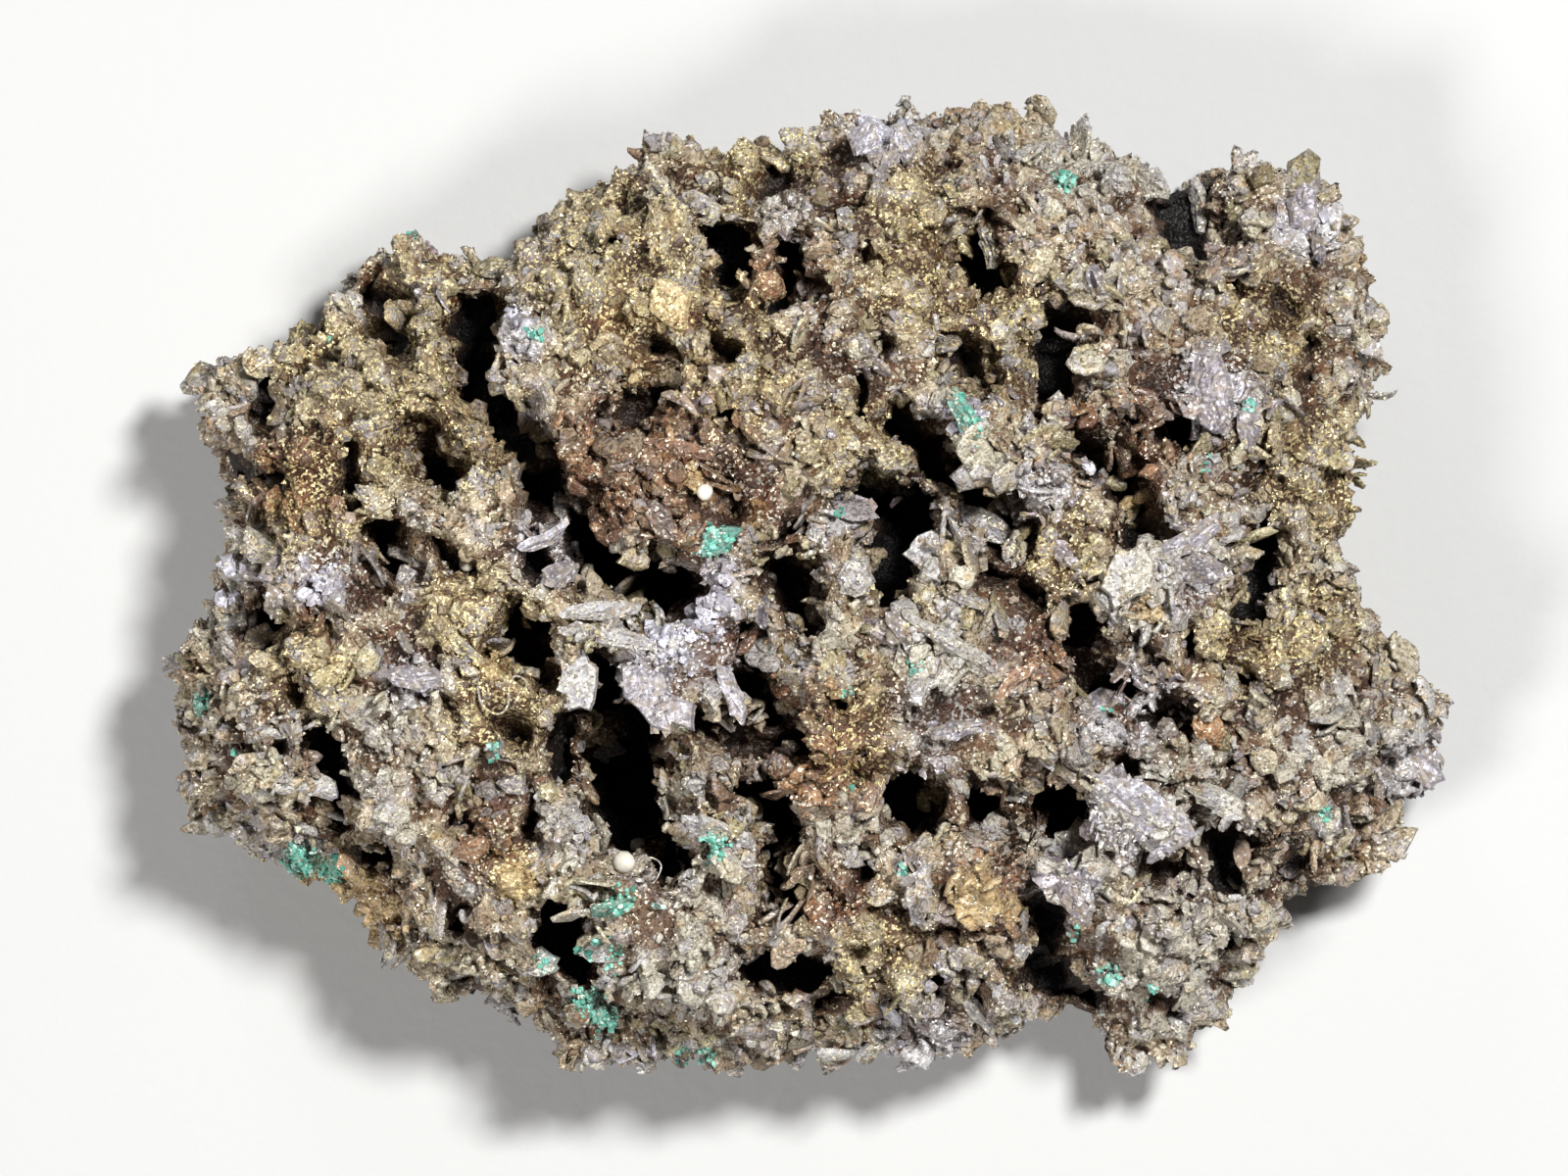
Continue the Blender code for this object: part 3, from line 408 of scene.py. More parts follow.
class Nodes:
    """Short words for building a material's nodes."""

    def __init__(self, name):
        self.material = bpy.data.materials.new(name)
        self.material.use_nodes = True
        self.tree = self.material.node_tree
        self.shader = self.tree.nodes["Principled BSDF"]

    def add(self, kind, settings=None, **inputs):
        node = self.tree.nodes.new(kind)
        for key, value in (settings or {}).items():
            setattr(node, key, value)
        for key, value in inputs.items():
            self.put(node.inputs[key.replace("_", " ")], value)
        return node

    def put(self, socket, value):
        if isinstance(value, bpy.types.NodeSocket):
            self.tree.links.new(value, socket)
        elif socket.type == "RGBA":
            socket.default_value = (*value, 1)
        else:
            socket.default_value = value

    def shade(self, **inputs):
        for key, value in inputs.items():
            self.put(self.shader.inputs[key.replace("_", " ")], value)

    def place(self):
        """The surface's own coordinates, in mm."""
        where = self.add("ShaderNodeTexCoord").outputs["Object"]
        grown = self.add("ShaderNodeVectorMath", {"operation": "SCALE"}, Vector=where, Scale=1000.0)
        return grown.outputs["Vector"]

    def math(self, operation, a, b):
        node = self.add("ShaderNodeMath", {"operation": operation})
        self.put(node.inputs[0], a)
        self.put(node.inputs[1], b)
        return node.outputs[0]

    def times(self, a, b):
        return self.math("MULTIPLY", a, b)

    def plus(self, a, b):
        return self.math("ADD", a, b)

    def vector(self, operation, a, b=(0, 0, 0)):
        node = self.add("ShaderNodeVectorMath", {"operation": operation})
        self.put(node.inputs[0], a)
        self.put(node.inputs[1], b)
        return node.outputs[0]

    def mix(self, share, a, b, blend="MIX"):
        settings = {"data_type": "RGBA", "blend_type": blend}
        return self.add("ShaderNodeMix", settings, Factor=share, A=a, B=b).outputs["Result"]

    def tint(self, body, colour):
        """A colour multiplied by another."""
        return self.mix(1.0, body, colour, "MULTIPLY")

    def lay(self, body, colour, share, most):
        """A colour laid over another, by a share of at most the given amount."""
        return self.mix(self.times(share, most), body, colour)

    def noise(self, where, scale, detail=2.0, rough=0.5):
        node = self.add("ShaderNodeTexNoise", Vector=where, Scale=scale, Detail=detail, Roughness=rough)
        return node.outputs["Fac"]

    def cells(self, where, scale, what="Distance"):
        node = self.add("ShaderNodeTexVoronoi", Vector=where, Scale=scale)
        return node.outputs[what]

    def ramp(self, share, *stops):
        node = self.add("ShaderNodeValToRGB", Fac=share)
        elements = node.color_ramp.elements
        while len(elements) > 1:
            elements.remove(elements[-1])
        elements[0].position = stops[0][0]
        elements[0].color = (*stops[0][1], 1)
        for position, colour in stops[1:]:
            elements.new(position).color = (*colour, 1)
        return node.outputs["Color"]

    def steps(self, share, low, high):
        """0 up to the low limit, 1 from the high one on, and a soft rise between them."""
        settings = {"interpolation_type": "SMOOTHSTEP"}
        node = self.add("ShaderNodeMapRange", settings, Value=share, From_Min=low, From_Max=high)
        return node.outputs["Result"]

    def bump(self, height, strength, normal=None):
        """A bump whose height is given in mm."""
        node = self.add("ShaderNodeBump", Height=height, Strength=strength, Distance=MM)
        if normal is not None:
            self.put(node.inputs["Normal"], normal)
        return node.outputs["Normal"]

    def shares(self, layer):
        """The four numbers of one of the mesh's two colour layers."""
        found = self.add("ShaderNodeAttribute", {"attribute_name": layer})
        parts = self.add("ShaderNodeSeparateColor", Color=found.outputs["Color"])
        return parts.outputs[0], parts.outputs[1], parts.outputs[2], found.outputs["Alpha"]

    def patch(self, share, edge, low, high):
        """A share with an edge frayed by a noise."""
        return self.steps(self.plus(share, edge), low, high)

    def chance(self, where, scale):
        """A different number from 0 to 1 in each small cell."""
        colour = self.cells(where, scale, what="Color")
        return self.add("ShaderNodeSeparateColor", Color=colour).outputs[0]

    def facets(self, where, scale, tilt):
        """A normal that leans a different way in each small cell, as a crust of tiny crystal faces does."""
        colour = self.cells(where, scale, what="Color")
        lean = self.vector("SUBTRACT", colour, (0.5, 0.5, 0.5))
        lean = self.add("ShaderNodeVectorMath", {"operation": "SCALE"}, Vector=lean, Scale=tilt).outputs[0]
        normal = self.add("ShaderNodeNewGeometry").outputs["Normal"]
        return self.vector("NORMALIZE", self.vector("ADD", normal, lean))


def dusty(n, where, body, gold, rust, green, lilac, pale, ochre, mottle):
    """Lays the patches of colour over a body colour."""
    edge = n.plus(n.times(mottle, 1.2), -0.6)
    grey = n.mix(mottle, (0.21, 0.19, 0.21), (0.66, 0.63, 0.67))
    body = n.lay(body, grey, n.patch(lilac, edge, 0.25, 0.9), 0.85)
    light = n.mix(mottle, (0.30, 0.26, 0.21), (0.63, 0.60, 0.54))
    body = n.lay(body, light, n.patch(pale, edge, 0.25, 0.9), 0.8)
    olive = n.mix(mottle, (0.17, 0.120, 0.065), (0.46, 0.38, 0.235))
    body = n.lay(body, olive, n.patch(gold, edge, 0.2, 1.0), 0.48)
    veil = n.steps(n.noise(where, 0.75, 3.0, 0.6), 0.50, 0.60)
    veiled = n.mix(mottle, (0.16, 0.145, 0.165), (0.56, 0.54, 0.61))
    body = n.lay(body, veiled, veil, 0.62)
    fleck = n.steps(n.noise(n.vector("ADD", where, (40, 0, 0)), 0.9, 3.0, 0.6), 0.57, 0.66)
    amber = n.mix(mottle, (0.16, 0.075, 0.028), (0.58, 0.40, 0.18))
    body = n.lay(body, amber, fleck, 0.55)
    red = n.ramp(mottle, (0.35, (0.075, 0.024, 0.010)), (0.52, (0.17, 0.067, 0.028)),
                 (0.72, (0.36, 0.18, 0.08)))
    body = n.lay(body, red, n.patch(rust, edge, 0.3, 0.95), 0.9)
    tan = n.mix(mottle, (0.30, 0.17, 0.07), (0.74, 0.58, 0.32))
    body = n.lay(body, tan, n.patch(ochre, edge, 0.3, 0.8), 0.85)
    teal = n.mix(mottle, (0.03, 0.15, 0.12), (0.20, 0.50, 0.42))
    return n.lay(body, teal, n.patch(green, edge, 0.45, 0.75), 0.8)


def sparkling(n, where, body, gold, lilac, tone_and_shade, normal, scale, share):
    """A druse of tiny faces, each leaning its own way; some of them are bare golden metal."""
    chosen = n.chance(where, scale)
    uneven = n.ramp(chosen, (0.0, (0.55, 0.51, 0.46)), (0.35, (0.91, 0.92, 0.91)),
                    (0.8, (1.18, 1.22, 1.22)))
    body = n.tint(body, uneven)
    more = n.plus(n.times(gold, 0.12), n.times(lilac, 0.08))
    golden = n.steps(n.plus(chosen, more), share, share + 0.03)
    # No golden faces where painted shade is deep
    golden = n.times(golden, n.steps(tone_and_shade, 0.05, 0.40))
    brass = n.mix(gold, (0.80, 0.74, 0.60), (0.93, 0.80, 0.43))
    brass = n.lay(brass, (0.90, 0.89, 0.92), lilac, 0.8)
    colour = n.lay(body, brass, golden, 0.85)
    n.shade(
        Base_Color=colour, Metallic=n.times(golden, 0.5),
        Roughness=n.math("SUBTRACT", 0.55, n.times(golden, 0.25)), Normal=normal,
    )


def ore_material():
    """Brown to grey crust with rust, green and lilac patches, and tiny golden faces all over."""
    n = Nodes("ore_crust")
    where = n.place()
    gold, rust, green, lilac = n.shares("zones")
    tone_and_shade, _, pale, ochre = n.shares("looks")
    mottle = n.noise(where, 1.8, 5.0, 0.65)
    earth = n.ramp(
        n.noise(where, 0.5, 4.0, 0.6), (0.28, (0.19, 0.135, 0.090)), (0.43, (0.32, 0.25, 0.18)),
        (0.55, (0.44, 0.37, 0.275)), (0.72, (0.54, 0.48, 0.37)),
    )
    speckle = n.ramp(
        mottle, (0.30, (0.40, 0.33, 0.27)), (0.5, (0.95, 0.92, 0.90)), (0.70, (1.5, 1.48, 1.45)),
    )
    body = n.tint(earth, speckle)
    body = dusty(n, where, body, gold, rust, green, lilac, pale, ochre, mottle)
    # Painted shade: where the tone is low, in the creases and the hollows, the crust is darkened to
    # red-brown and then to near black; open tops are lighter
    shade = n.ramp(tone_and_shade, (0.0, (0.010, 0.006, 0.005)), (0.35, (0.36, 0.235, 0.165)),
                   (0.7, (0.95, 0.92, 0.90)), (1.0, (1.2, 1.2, 1.2)))
    body = n.tint(body, shade)
    grains = n.times(n.cells(where, 7.0), -0.10)
    height = n.plus(grains, n.times(mottle, 0.15))
    normal = n.bump(height, 0.8, n.facets(where, 8.0, 0.9))
    sparkling(n, where, body, gold, lilac, tone_and_shade, normal, 8.0, 0.82)
    return n.material


def coated_material():
    """Leaves of polybasite dusted over with fine grains."""
    n = Nodes("coated_crystals")
    where = n.place()
    gold, rust, green, lilac = n.shares("zones")
    tone_and_shade, kin, pale, ochre = n.shares("looks")
    mottle = n.noise(where, 2.6, 5.0, 0.65)
    # These colours darken with the tone, which holds each leaf's own tone and painted shade where it sits
    # low
    tan = n.ramp(
        tone_and_shade, (0.0, (0.25, 0.185, 0.125)), (0.35, (0.39, 0.325, 0.235)), (0.7, (0.49, 0.435, 0.335)),
        (1.0, (0.62, 0.585, 0.48)),
    )
    grey = n.ramp(tone_and_shade, (0.0, (0.20, 0.175, 0.165)), (0.5, (0.38, 0.355, 0.35)), (1.0, (0.56, 0.54, 0.55)))
    brown = n.ramp(tone_and_shade, (0.0, (0.15, 0.085, 0.052)), (0.6, (0.37, 0.26, 0.185)), (1.0, (0.56, 0.44, 0.33)))
    olive = n.ramp(tone_and_shade, (0.0, (0.17, 0.135, 0.07)), (0.6, (0.43, 0.37, 0.23)), (1.0, (0.62, 0.56, 0.38)))
    body = n.mix(n.steps(kin, 0.46, 0.50), tan, grey)
    body = n.mix(n.steps(kin, 0.64, 0.68), body, brown)
    body = n.mix(n.steps(kin, 0.80, 0.84), body, olive)
    speckle = n.ramp(mottle, (0.3, (0.58, 0.51, 0.43)), (0.52, (1, 1, 1)), (0.72, (1.28, 1.28, 1.26)))
    body = n.tint(body, speckle)
    body = dusty(n, where, body, gold, rust, green, lilac, pale, ochre, n.mix(0.5, mottle, tone_and_shade))
    height = n.plus(n.times(n.cells(where, 8.0), -0.07), n.times(mottle, 0.12))
    normal = n.bump(height, 0.7, n.facets(where, 9.0, 0.6))
    sparkling(n, where, body, gold, lilac, tone_and_shade, normal, 9.0, 0.83)
    return n.material


def crystal_material():
    """Bare polybasite: lilac-grey metal, broken into small faces and partly dusty or stained."""
    n = Nodes("bare_crystals")
    where = n.place()
    _, rust, _, _ = n.shares("zones")
    tone_and_shade, kin, _, ochre = n.shares("looks")
    metal = n.ramp(
        tone_and_shade, (0.0, (0.17, 0.155, 0.18)), (0.35, (0.29, 0.27, 0.31)), (0.7, (0.41, 0.39, 0.44)),
        (0.85, (0.56, 0.55, 0.63)), (1.0, (0.80, 0.80, 0.92)),
    )
    dirt = n.noise(where, 2.0, 6.0, 0.7)
    dust = n.steps(n.plus(dirt, n.times(kin, 0.25)), 0.50, 0.72)
    tan = n.mix(n.noise(where, 6.0, 3.0), (0.15, 0.105, 0.075), (0.52, 0.46, 0.37))
    colour = n.mix(n.times(dust, 0.9), metal, tan)
    colour = n.lay(colour, (0.34, 0.20, 0.12), rust, 0.5)
    stain = n.mix(n.steps(dirt, 0.35, 0.65), (0.36, 0.20, 0.08), (0.78, 0.60, 0.34))
    colour = n.lay(colour, stain, ochre, 0.75)
    glint = n.steps(n.chance(where, 8.0), 0.90, 0.93)
    colour = n.lay(colour, (0.85, 0.84, 0.88), glint, 0.8)
    uneven = n.ramp(n.chance(where, 6.0), (0.0, (0.75, 0.72, 0.70)), (1.0, (1.2, 1.2, 1.2)))
    colour = n.tint(colour, uneven)
    height = n.plus(n.times(n.noise(where, 7.0, 4.0), 0.10),
                    n.times(n.cells(where, 1.8), -0.10))
    n.shade(
        Base_Color=colour, Metallic=n.math("SUBTRACT", 0.50, n.times(dust, 0.45)),
        Roughness=n.plus(0.40, n.times(dust, 0.25)),
        Normal=n.bump(height, 0.8, n.facets(where, 7.0, 0.45)),
    )
    return n.material


def grain_material():
    """Chalcopyrite grains, from tarnished bronze to bright gold, darker with painted shade where they sit
    in creases.
    """
    n = Nodes("golden_grains")
    where = n.place()
    gold, rust, _, lilac = n.shares("zones")
    tone_and_shade = n.shares("looks")[0]
    olive = n.ramp(
        tone_and_shade, (0.0, (0.09, 0.060, 0.035)), (0.35, (0.22, 0.165, 0.09)), (0.65, (0.42, 0.34, 0.18)),
        (0.82, (0.82, 0.70, 0.38)), (1.0, (0.98, 0.91, 0.62)),
    )
    dull = n.ramp(
        tone_and_shade, (0.0, (0.12, 0.080, 0.055)), (0.35, (0.26, 0.205, 0.145)), (0.65, (0.42, 0.36, 0.27)),
        (0.82, (0.66, 0.59, 0.45)), (1.0, (0.93, 0.88, 0.73)),
    )
    uneven = n.times(n.noise(where, 0.7, 3.0), 1.2)
    colour = n.mix(n.patch(gold, uneven, 0.55, 1.1), dull, olive)
    rusty = n.mix(tone_and_shade, (0.10, 0.03, 0.012), (0.55, 0.28, 0.12))
    colour = n.lay(colour, rusty, rust, 0.7)
    rough = n.ramp(tone_and_shade, (0.0, (0.6, 0.6, 0.6)), (0.6, (0.45, 0.45, 0.45)), (0.8, (0.32, 0.32, 0.32)))
    metal = n.ramp(tone_and_shade, (0.0, (0.1, 0.1, 0.1)), (0.6, (0.2, 0.2, 0.2)), (0.8, (0.55, 0.55, 0.55)))
    n.shade(Base_Color=colour, Metallic=metal, Roughness=rough)
    return n.material


def bead_material():
    n = Nodes("pale_beads")
    colour = n.mix(n.noise(n.place(), 5.0, 3.0), (0.62, 0.57, 0.47), (0.86, 0.83, 0.74))
    n.shade(Base_Color=colour, Roughness=0.45)
    return n.material


def malachite_material():
    n = Nodes("green_crust")
    where = n.place()
    tone_and_shade = n.shares("looks")[0]
    colour = n.ramp(
        tone_and_shade, (0.0, (0.05, 0.22, 0.17)), (0.5, (0.16, 0.49, 0.39)), (0.85, (0.33, 0.70, 0.58)),
        (1.0, (0.60, 0.84, 0.76)),
    )
    colour = n.mix(n.steps(n.noise(where, 3.0, 4.0), 0.60, 0.70), colour, (0.40, 0.38, 0.30))
    height = n.times(n.cells(where, 9.0), -0.05)
    n.shade(Base_Color=colour, Roughness=0.5, Normal=n.bump(height, 0.6))
    return n.material


def floor_material():
    n = Nodes("pale_floor")
    where = n.place()
    colour = n.mix(n.noise(where, 0.02, 3.0), (0.50, 0.50, 0.505), (0.52, 0.52, 0.52))
    n.shade(Base_Color=colour, Roughness=0.8, Normal=n.bump(n.noise(where, 1.5, 4.0), 0.05))
    return n.material


# The crust

def lump_values(points, cell):
    """1 in the middle of a lump, 0 in the creases between lumps."""
    found = np.empty(len(points))
    for i, point in enumerate(points / (cell * MM)):
        near = noise.voronoi(Vector(point), distance_metric="DISTANCE")[0]
        found[i] = min(1.0, 1.7 * (near[1] - near[0]))
    return found


def rough_values(points, scale):
    return np.array([noise.turbulence(Vector(p), 3, True) for p in points / (scale * MM)]) - 0.8


def build_crust(material):
    """The solid's own shape with finer lumps, and its hollows deepened; also returns a tone of painted
    shade, dark in the creases and the hollows, that tells how open each place is.
    """
    source = linked("source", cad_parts[NODE].data.copy())
    modifier = source.modifiers.new("remesh", "REMESH")
    modifier.mode = "VOXEL"
    modifier.voxel_size = CRUST_VOXEL
    graph = bpy.context.evaluated_depsgraph_get()
    mesh = bpy.data.meshes.new_from_object(source.evaluated_get(graph))
    bpy.data.objects.remove(source)
    points = points_of(mesh)
    normals = rows_of(mesh.vertices, "normal").astype(float)
    rise = np.zeros(len(points))
    crease_shade = np.ones(len(points))
    for cell, height in RELIEF:
        value = lump_values(points, cell)
        rise += height * MM * (smoothstep(value / 0.9) - LUMP_LEVEL)
        crease_shade = np.minimum(crease_shade, 1.0 - 0.85 * min(1.0, height) * (1.0 - smoothstep(value / 0.5)))
    rise += ROUGH_RISE * MM * rough_values(points, ROUGH_SCALE)
    free = smoothstep(points[:, 2] / FOOT)
    deep = hollow_share(points[:, :2])
    points += normals * (rise * free)[:, None]
    points[:, 2] -= np.maximum(points[:, 2] - HOLLOW_FLOOR, 0.0) * HOLLOW_SINK * deep
    # Painted shade: the tone is darker in the creases between the lumps and deep in the hollows
    tone_and_shade = np.clip(crease_shade * (1.0 - smoothstep((deep - 0.15) / 0.7)), 0.0, 1.0)
    points = in_cad_box(points)
    mesh.vertices.foreach_set("co", points.astype(np.float32).ravel())
    mesh.update()
    add_attributes(mesh, looks_of(points, tone_and_shade, np.zeros(len(points)), normals[:, 2]))
    mesh.materials.clear()
    mesh.materials.append(material)
    mesh.polygons.foreach_set("use_smooth", np.ones(len(mesh.polygons), bool))
    mesh.name = "crust"
    crust = linked("crust", mesh)
    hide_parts(NODE)
    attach(crust, "root")
    return crust, tone_and_shade


# Sowing small things on a surface

def surface_of(obj, openness=None):
    """Corners, normals, areas and openness of all the triangles of an object."""
    mesh = obj.data
    mesh.calc_loop_triangles()
    tris = rows_of(mesh.loop_triangles, "vertices", np.int32)
    corners = points_of(mesh)[tris]
    cross = np.cross(corners[:, 1] - corners[:, 0], corners[:, 2] - corners[:, 0])
    area = np.maximum(np.linalg.norm(cross, axis=1), 1e-15)
    clear = np.ones(len(tris)) if openness is None else openness[tris].mean(axis=1)
    return corners, cross / area[:, None], area / 2, clear


def joined(*surfaces):
    return tuple(np.concatenate(parts) for parts in zip(*surfaces))


def sow(rng, surface, count, weight=None, lowest=0.6 * MM):
    """Random places on the surface, with its normal and openness there."""
    corners, normals, area, clear = surface
    centre = corners.mean(axis=1)
    odds = area * (centre[:, 2] > lowest)
    if weight is not None:
        odds = odds * weight(centre, normals, clear)
    pick = rng.choice(len(odds), count, p=odds / odds.sum())
    a, b = rng.random((2, count))
    flip = a + b > 1
    a[flip], b[flip] = 1 - a[flip], 1 - b[flip]
    first, second, third = corners[pick].transpose(1, 0, 2)
    places = first + a[:, None] * (second - first) + b[:, None] * (third - first)
    return places, normals[pick], clear[pick]


def mostly_low(rng, low, high, count, power):
    """Random numbers between two limits, most of them near the low one."""
    return low + (high - low) * rng.random(count) ** power


def unit(vectors):
    return vectors / np.maximum(np.linalg.norm(vectors, axis=1, keepdims=True), 1e-12)


def turned(rng, normals, tilt_low, tilt_high):
    """A frame of axes for each thing: its third axis leans off the normal by a random tilt."""
    count = len(normals)
    side = unit(np.cross(normals, rng.normal(size=(count, 3))))
    tilt = np.radians(rng.uniform(tilt_low, tilt_high, count))[:, None]
    up = unit(normals * np.cos(tilt) + side * np.sin(tilt))
    first = unit(np.cross(up, rng.normal(size=(count, 3))))
    return np.stack([first, np.cross(up, first), up], axis=1)


def fused(name, shapes, faces, axes, places, sizes, material, tone_and_shade, kin, facing, smooth=False):
    """One mesh of many small shapes; shapes is (count, corners, 3), not yet sized, turned and placed."""
    count, corners, _ = shapes.shape
    points = np.einsum("nvi,nij->nvj", shapes * sizes[:, None, :], axes) + places[:, None, :]
    every = (faces[None] + (np.arange(count) * corners)[:, None, None]).reshape(-1, faces.shape[1])
    looks = np.repeat(looks_of(places, tone_and_shade, kin, facing), corners, axis=0)
    return new_mesh(name, points.reshape(-1, 3), every, material, looks, smooth)


def leaf_shapes(rng, count, sides, ragged, bend):
    """Thin closed leaves with uneven rims, bent and slightly crumpled; some narrow to their ends."""
    angle = 2 * math.pi * np.arange(sides) / sides + rng.uniform(-0.14, 0.14, (count, sides))
    pull = 1.0 + rng.uniform(-ragged, ragged, (count, sides)) - 0.30 * (rng.random((count, sides)) < 0.06)
    pull = pull * (1.0 + 0.10 * np.cos(6 * angle + rng.uniform(0, 6.3, (count, 1))))
    rim = np.stack([np.cos(angle) * pull, np.sin(angle) * pull], axis=2) * 0.5
    taper = rng.uniform(0.0, 0.7, (count, 1)) * (rng.random((count, 1)) < 0.4)
    rim[:, :, 1] *= 1.0 - taper * np.minimum(np.abs(2 * rim[:, :, 0]), 1.0) ** 1.5
    middle = np.zeros((count, 1, 2))
    inner = rim * rng.uniform(0.42, 0.70, (count, sides, 1))
    plan = np.concatenate([rim * 0.93, inner, middle, rim, middle], axis=1)
    high = np.concatenate([
        np.full((count, sides), 0.35),
        rng.uniform(0.25, 0.75, (count, sides)),
        rng.uniform(0.3, 0.7, (count, 1)),
        rng.uniform(-0.7, -0.3, (count, sides)),
        np.full((count, 1), -0.5),
    ], axis=1)
    arc = rng.uniform(-bend, bend, (count, 2))
    high = high + 4 * (arc[:, :1] * plan[:, :, 0] ** 2 + arc[:, 1:] * plan[:, :, 1] ** 2)
    low, last = 2 * sides + 1, 3 * sides + 1
    faces = []
    for i in range(sides):
        j = (i + 1) % sides
        faces += [(sides + i, sides + j, 2 * sides), (i, j, sides + j), (i, sides + j, sides + i),
                  (low + i, low + j, j), (low + i, j, i), (low + j, low + i, last)]
    return np.concatenate([plan, high[:, :, None]], axis=2), np.array(faces)


def held(places, length, crust, share=0.28):
    """Draws places back to within a share of each thing's length from the crust, so nothing floats."""
    tree = tree_of(crust)
    near = np.array([tree.find_nearest(Vector(place))[0] for place in places])
    away = np.linalg.norm(places - near, axis=1)
    pull = np.minimum(1.0, share * length * MM / np.maximum(away, 1e-9))
    return near + (places - near) * pull[:, None]


def grow_stacks(rng, name, crust, surface, stacks, leaves, sides, material, lengths, aspects, thick, tilts,
                weight, smooth=False):
    """Leaves in stacks: those of one stack lie nearly parallel."""
    centres, normals, clear = sow(rng, surface, stacks, weight)
    many = rng.integers(leaves[0], leaves[1] + 1, stacks)
    whose = np.repeat(np.arange(stacks), many)
    count = len(whose)
    rank = np.concatenate([np.arange(k) - (k - 1) / 2 for k in many])
    axes = turned(rng, normals, *tilts)[whose]
    spread = rng.uniform(0.16, 0.50, stacks)[whose] * (rank + rng.uniform(-0.4, 0.4, count)) * MM
    places = centres[whose] + axes[:, 2] * spread[:, None]
    slide = rng.normal(size=(count, 2)) * 0.42 * MM
    places = places + axes[:, 0] * slide[:, :1] + axes[:, 1] * slide[:, 1:]
    places = places + normals[whose] * rng.uniform(0.0, 0.30, (count, 1)) * MM
    wobble = unit(axes[:, 2] + 0.34 * rng.normal(size=(count, 3)))
    heading = axes[:, 0] + 0.8 * rng.normal(size=(count, 3))
    first = unit(heading - wobble * (heading * wobble).sum(axis=1, keepdims=True))
    axes = np.stack([first, np.cross(wobble, first), wobble], axis=1)
    length = mostly_low(rng, *lengths, stacks, 1.6)[whose] * rng.uniform(0.6, 1.1, count)
    width = length * rng.uniform(*aspects, count)
    sizes = np.stack([length, width, rng.uniform(*thick, count)], axis=1) * MM
    places = held(places, length, crust)
    tone_and_shade = np.clip(0.12 + 0.78 * rng.random(stacks)[whose] + rng.normal(size=count) * 0.12, 0, 1)
    kin = np.where(rng.random(count) < 0.75, rng.random(stacks)[whose], rng.random(count))
    shapes, faces = leaf_shapes(rng, count, sides, 0.13, 1.2)
    return fused(name, shapes, faces, axes, places, sizes, material, tone_and_shade, kin, normals[whose, 2], smooth)


def grow_crumbs(rng, name, surface, count, material, low, high, weight, tones=(0.05, 0.9), kins=(0.0, 1.0)):
    """Small knobbly crystals."""
    places, normals, _ = sow(rng, surface, count, weight)
    length = mostly_low(rng, low, high, count, 1.6)
    width = length * rng.uniform(0.6, 1.0, count)
    sizes = np.stack([length, width, length * rng.uniform(0.3, 0.7, count)], axis=1)
    axes = turned(rng, normals, 0, 90)
    shapes, faces = leaf_shapes(rng, count, 5, 0.30, 0.1)
    places = places + normals * rng.uniform(0.0, 0.12, (count, 1)) * MM
    tone_and_shade = rng.uniform(*tones, count)
    kin = rng.uniform(*kins, count)
    return fused(name, shapes, faces, axes, places, sizes * MM, material, tone_and_shade, kin, normals[:, 2])


def grow_beads(rng, crust, material):
    """A few round pale grains that catch the eye."""
    surface = tree_of(crust)
    places, sizes = [], []
    for x, y, radius in BEADS:
        place = drop(surface, x * MM, y * MM)[0]
        places.append(place + Vector((0, 0, 0.9 * radius * MM)))
        sizes.append([2 * radius * MM] * 3)
    rings, around = 6, 10
    angle = 2 * math.pi * np.arange(around) / around
    points = [(0, 0, 0.5)]
    for i in range(1, rings):
        height = math.cos(math.pi * i / rings)
        wide = math.sin(math.pi * i / rings)
        points += [(0.5 * wide * math.cos(a), 0.5 * wide * math.sin(a), 0.5 * height) for a in angle]
    points.append((0, 0, -0.5))
    faces = []
    for k in range(around):
        after = (k + 1) % around
        faces.append((0, 1 + k, 1 + after))
        for i in range(rings - 2):
            row, below = 1 + i * around, 1 + (i + 1) * around
            faces += [(row + k, below + k, below + after), (row + k, below + after, row + after)]
        faces.append((len(points) - 1, 1 + (rings - 2) * around + after, 1 + (rings - 2) * around + k))
    count = len(places)
    shapes = np.array(points)[None] * rng.uniform(0.9, 1.1, (count, len(points), 1))
    axes = np.repeat(np.eye(3)[None], count, axis=0)
    return fused("beads", shapes, np.array(faces), axes, np.array(places), np.array(sizes), material,
                 np.full(count, 1.0), np.full(count, 0.2), np.full(count, -1.0), True)


GRANULE_POINTS = np.array([(1, 0, 0), (-1, 0, 0), (0, 1, 0), (0, -1, 0), (0, 0, 1), (0, 0, -1)]) * 0.5
GRANULE_FACES = np.array([
    (0, 2, 4), (2, 1, 4), (1, 3, 4), (3, 0, 4), (2, 0, 5), (1, 2, 5), (3, 1, 5), (0, 3, 5),
])


def grow_granules(rng, name, surface, count, material, low, high, weight):
    """Eight-sided granules that roughen the crust and the leaves."""
    places, normals, clear = sow(rng, surface, count, weight)
    length = mostly_low(rng, low, high, count, 2.0)
    sizes = length[:, None] * rng.uniform(0.75, 1.15, (count, 3)) * MM
    axes = turned(rng, normals, 0, 180)
    shapes = GRANULE_POINTS[None] * rng.uniform(0.8, 1.2, (count, 6, 1))
    places = places + normals * length[:, None] * 0.17 * MM
    # Random tone, with painted shade where the place is less open
    tone_and_shade = (0.25 + 0.65 * rng.random(count)) * (0.3 + 0.7 * smoothstep(clear / 0.8))
    kin = rng.random(count)
    return fused(name, shapes, GRANULE_FACES, axes, places, sizes, material, tone_and_shade, kin, normals[:, 2])


def in_the_open(centre, normals, clear):
    plan = centre[:, :2]
    odds = smoothstep((clear - 0.1) / 0.5) * (1.0 - smoothstep(hollow_share(plan) * 1.8))
    return odds * (1.0 - 0.8 * spotted(plan, SILVER, 0.6))


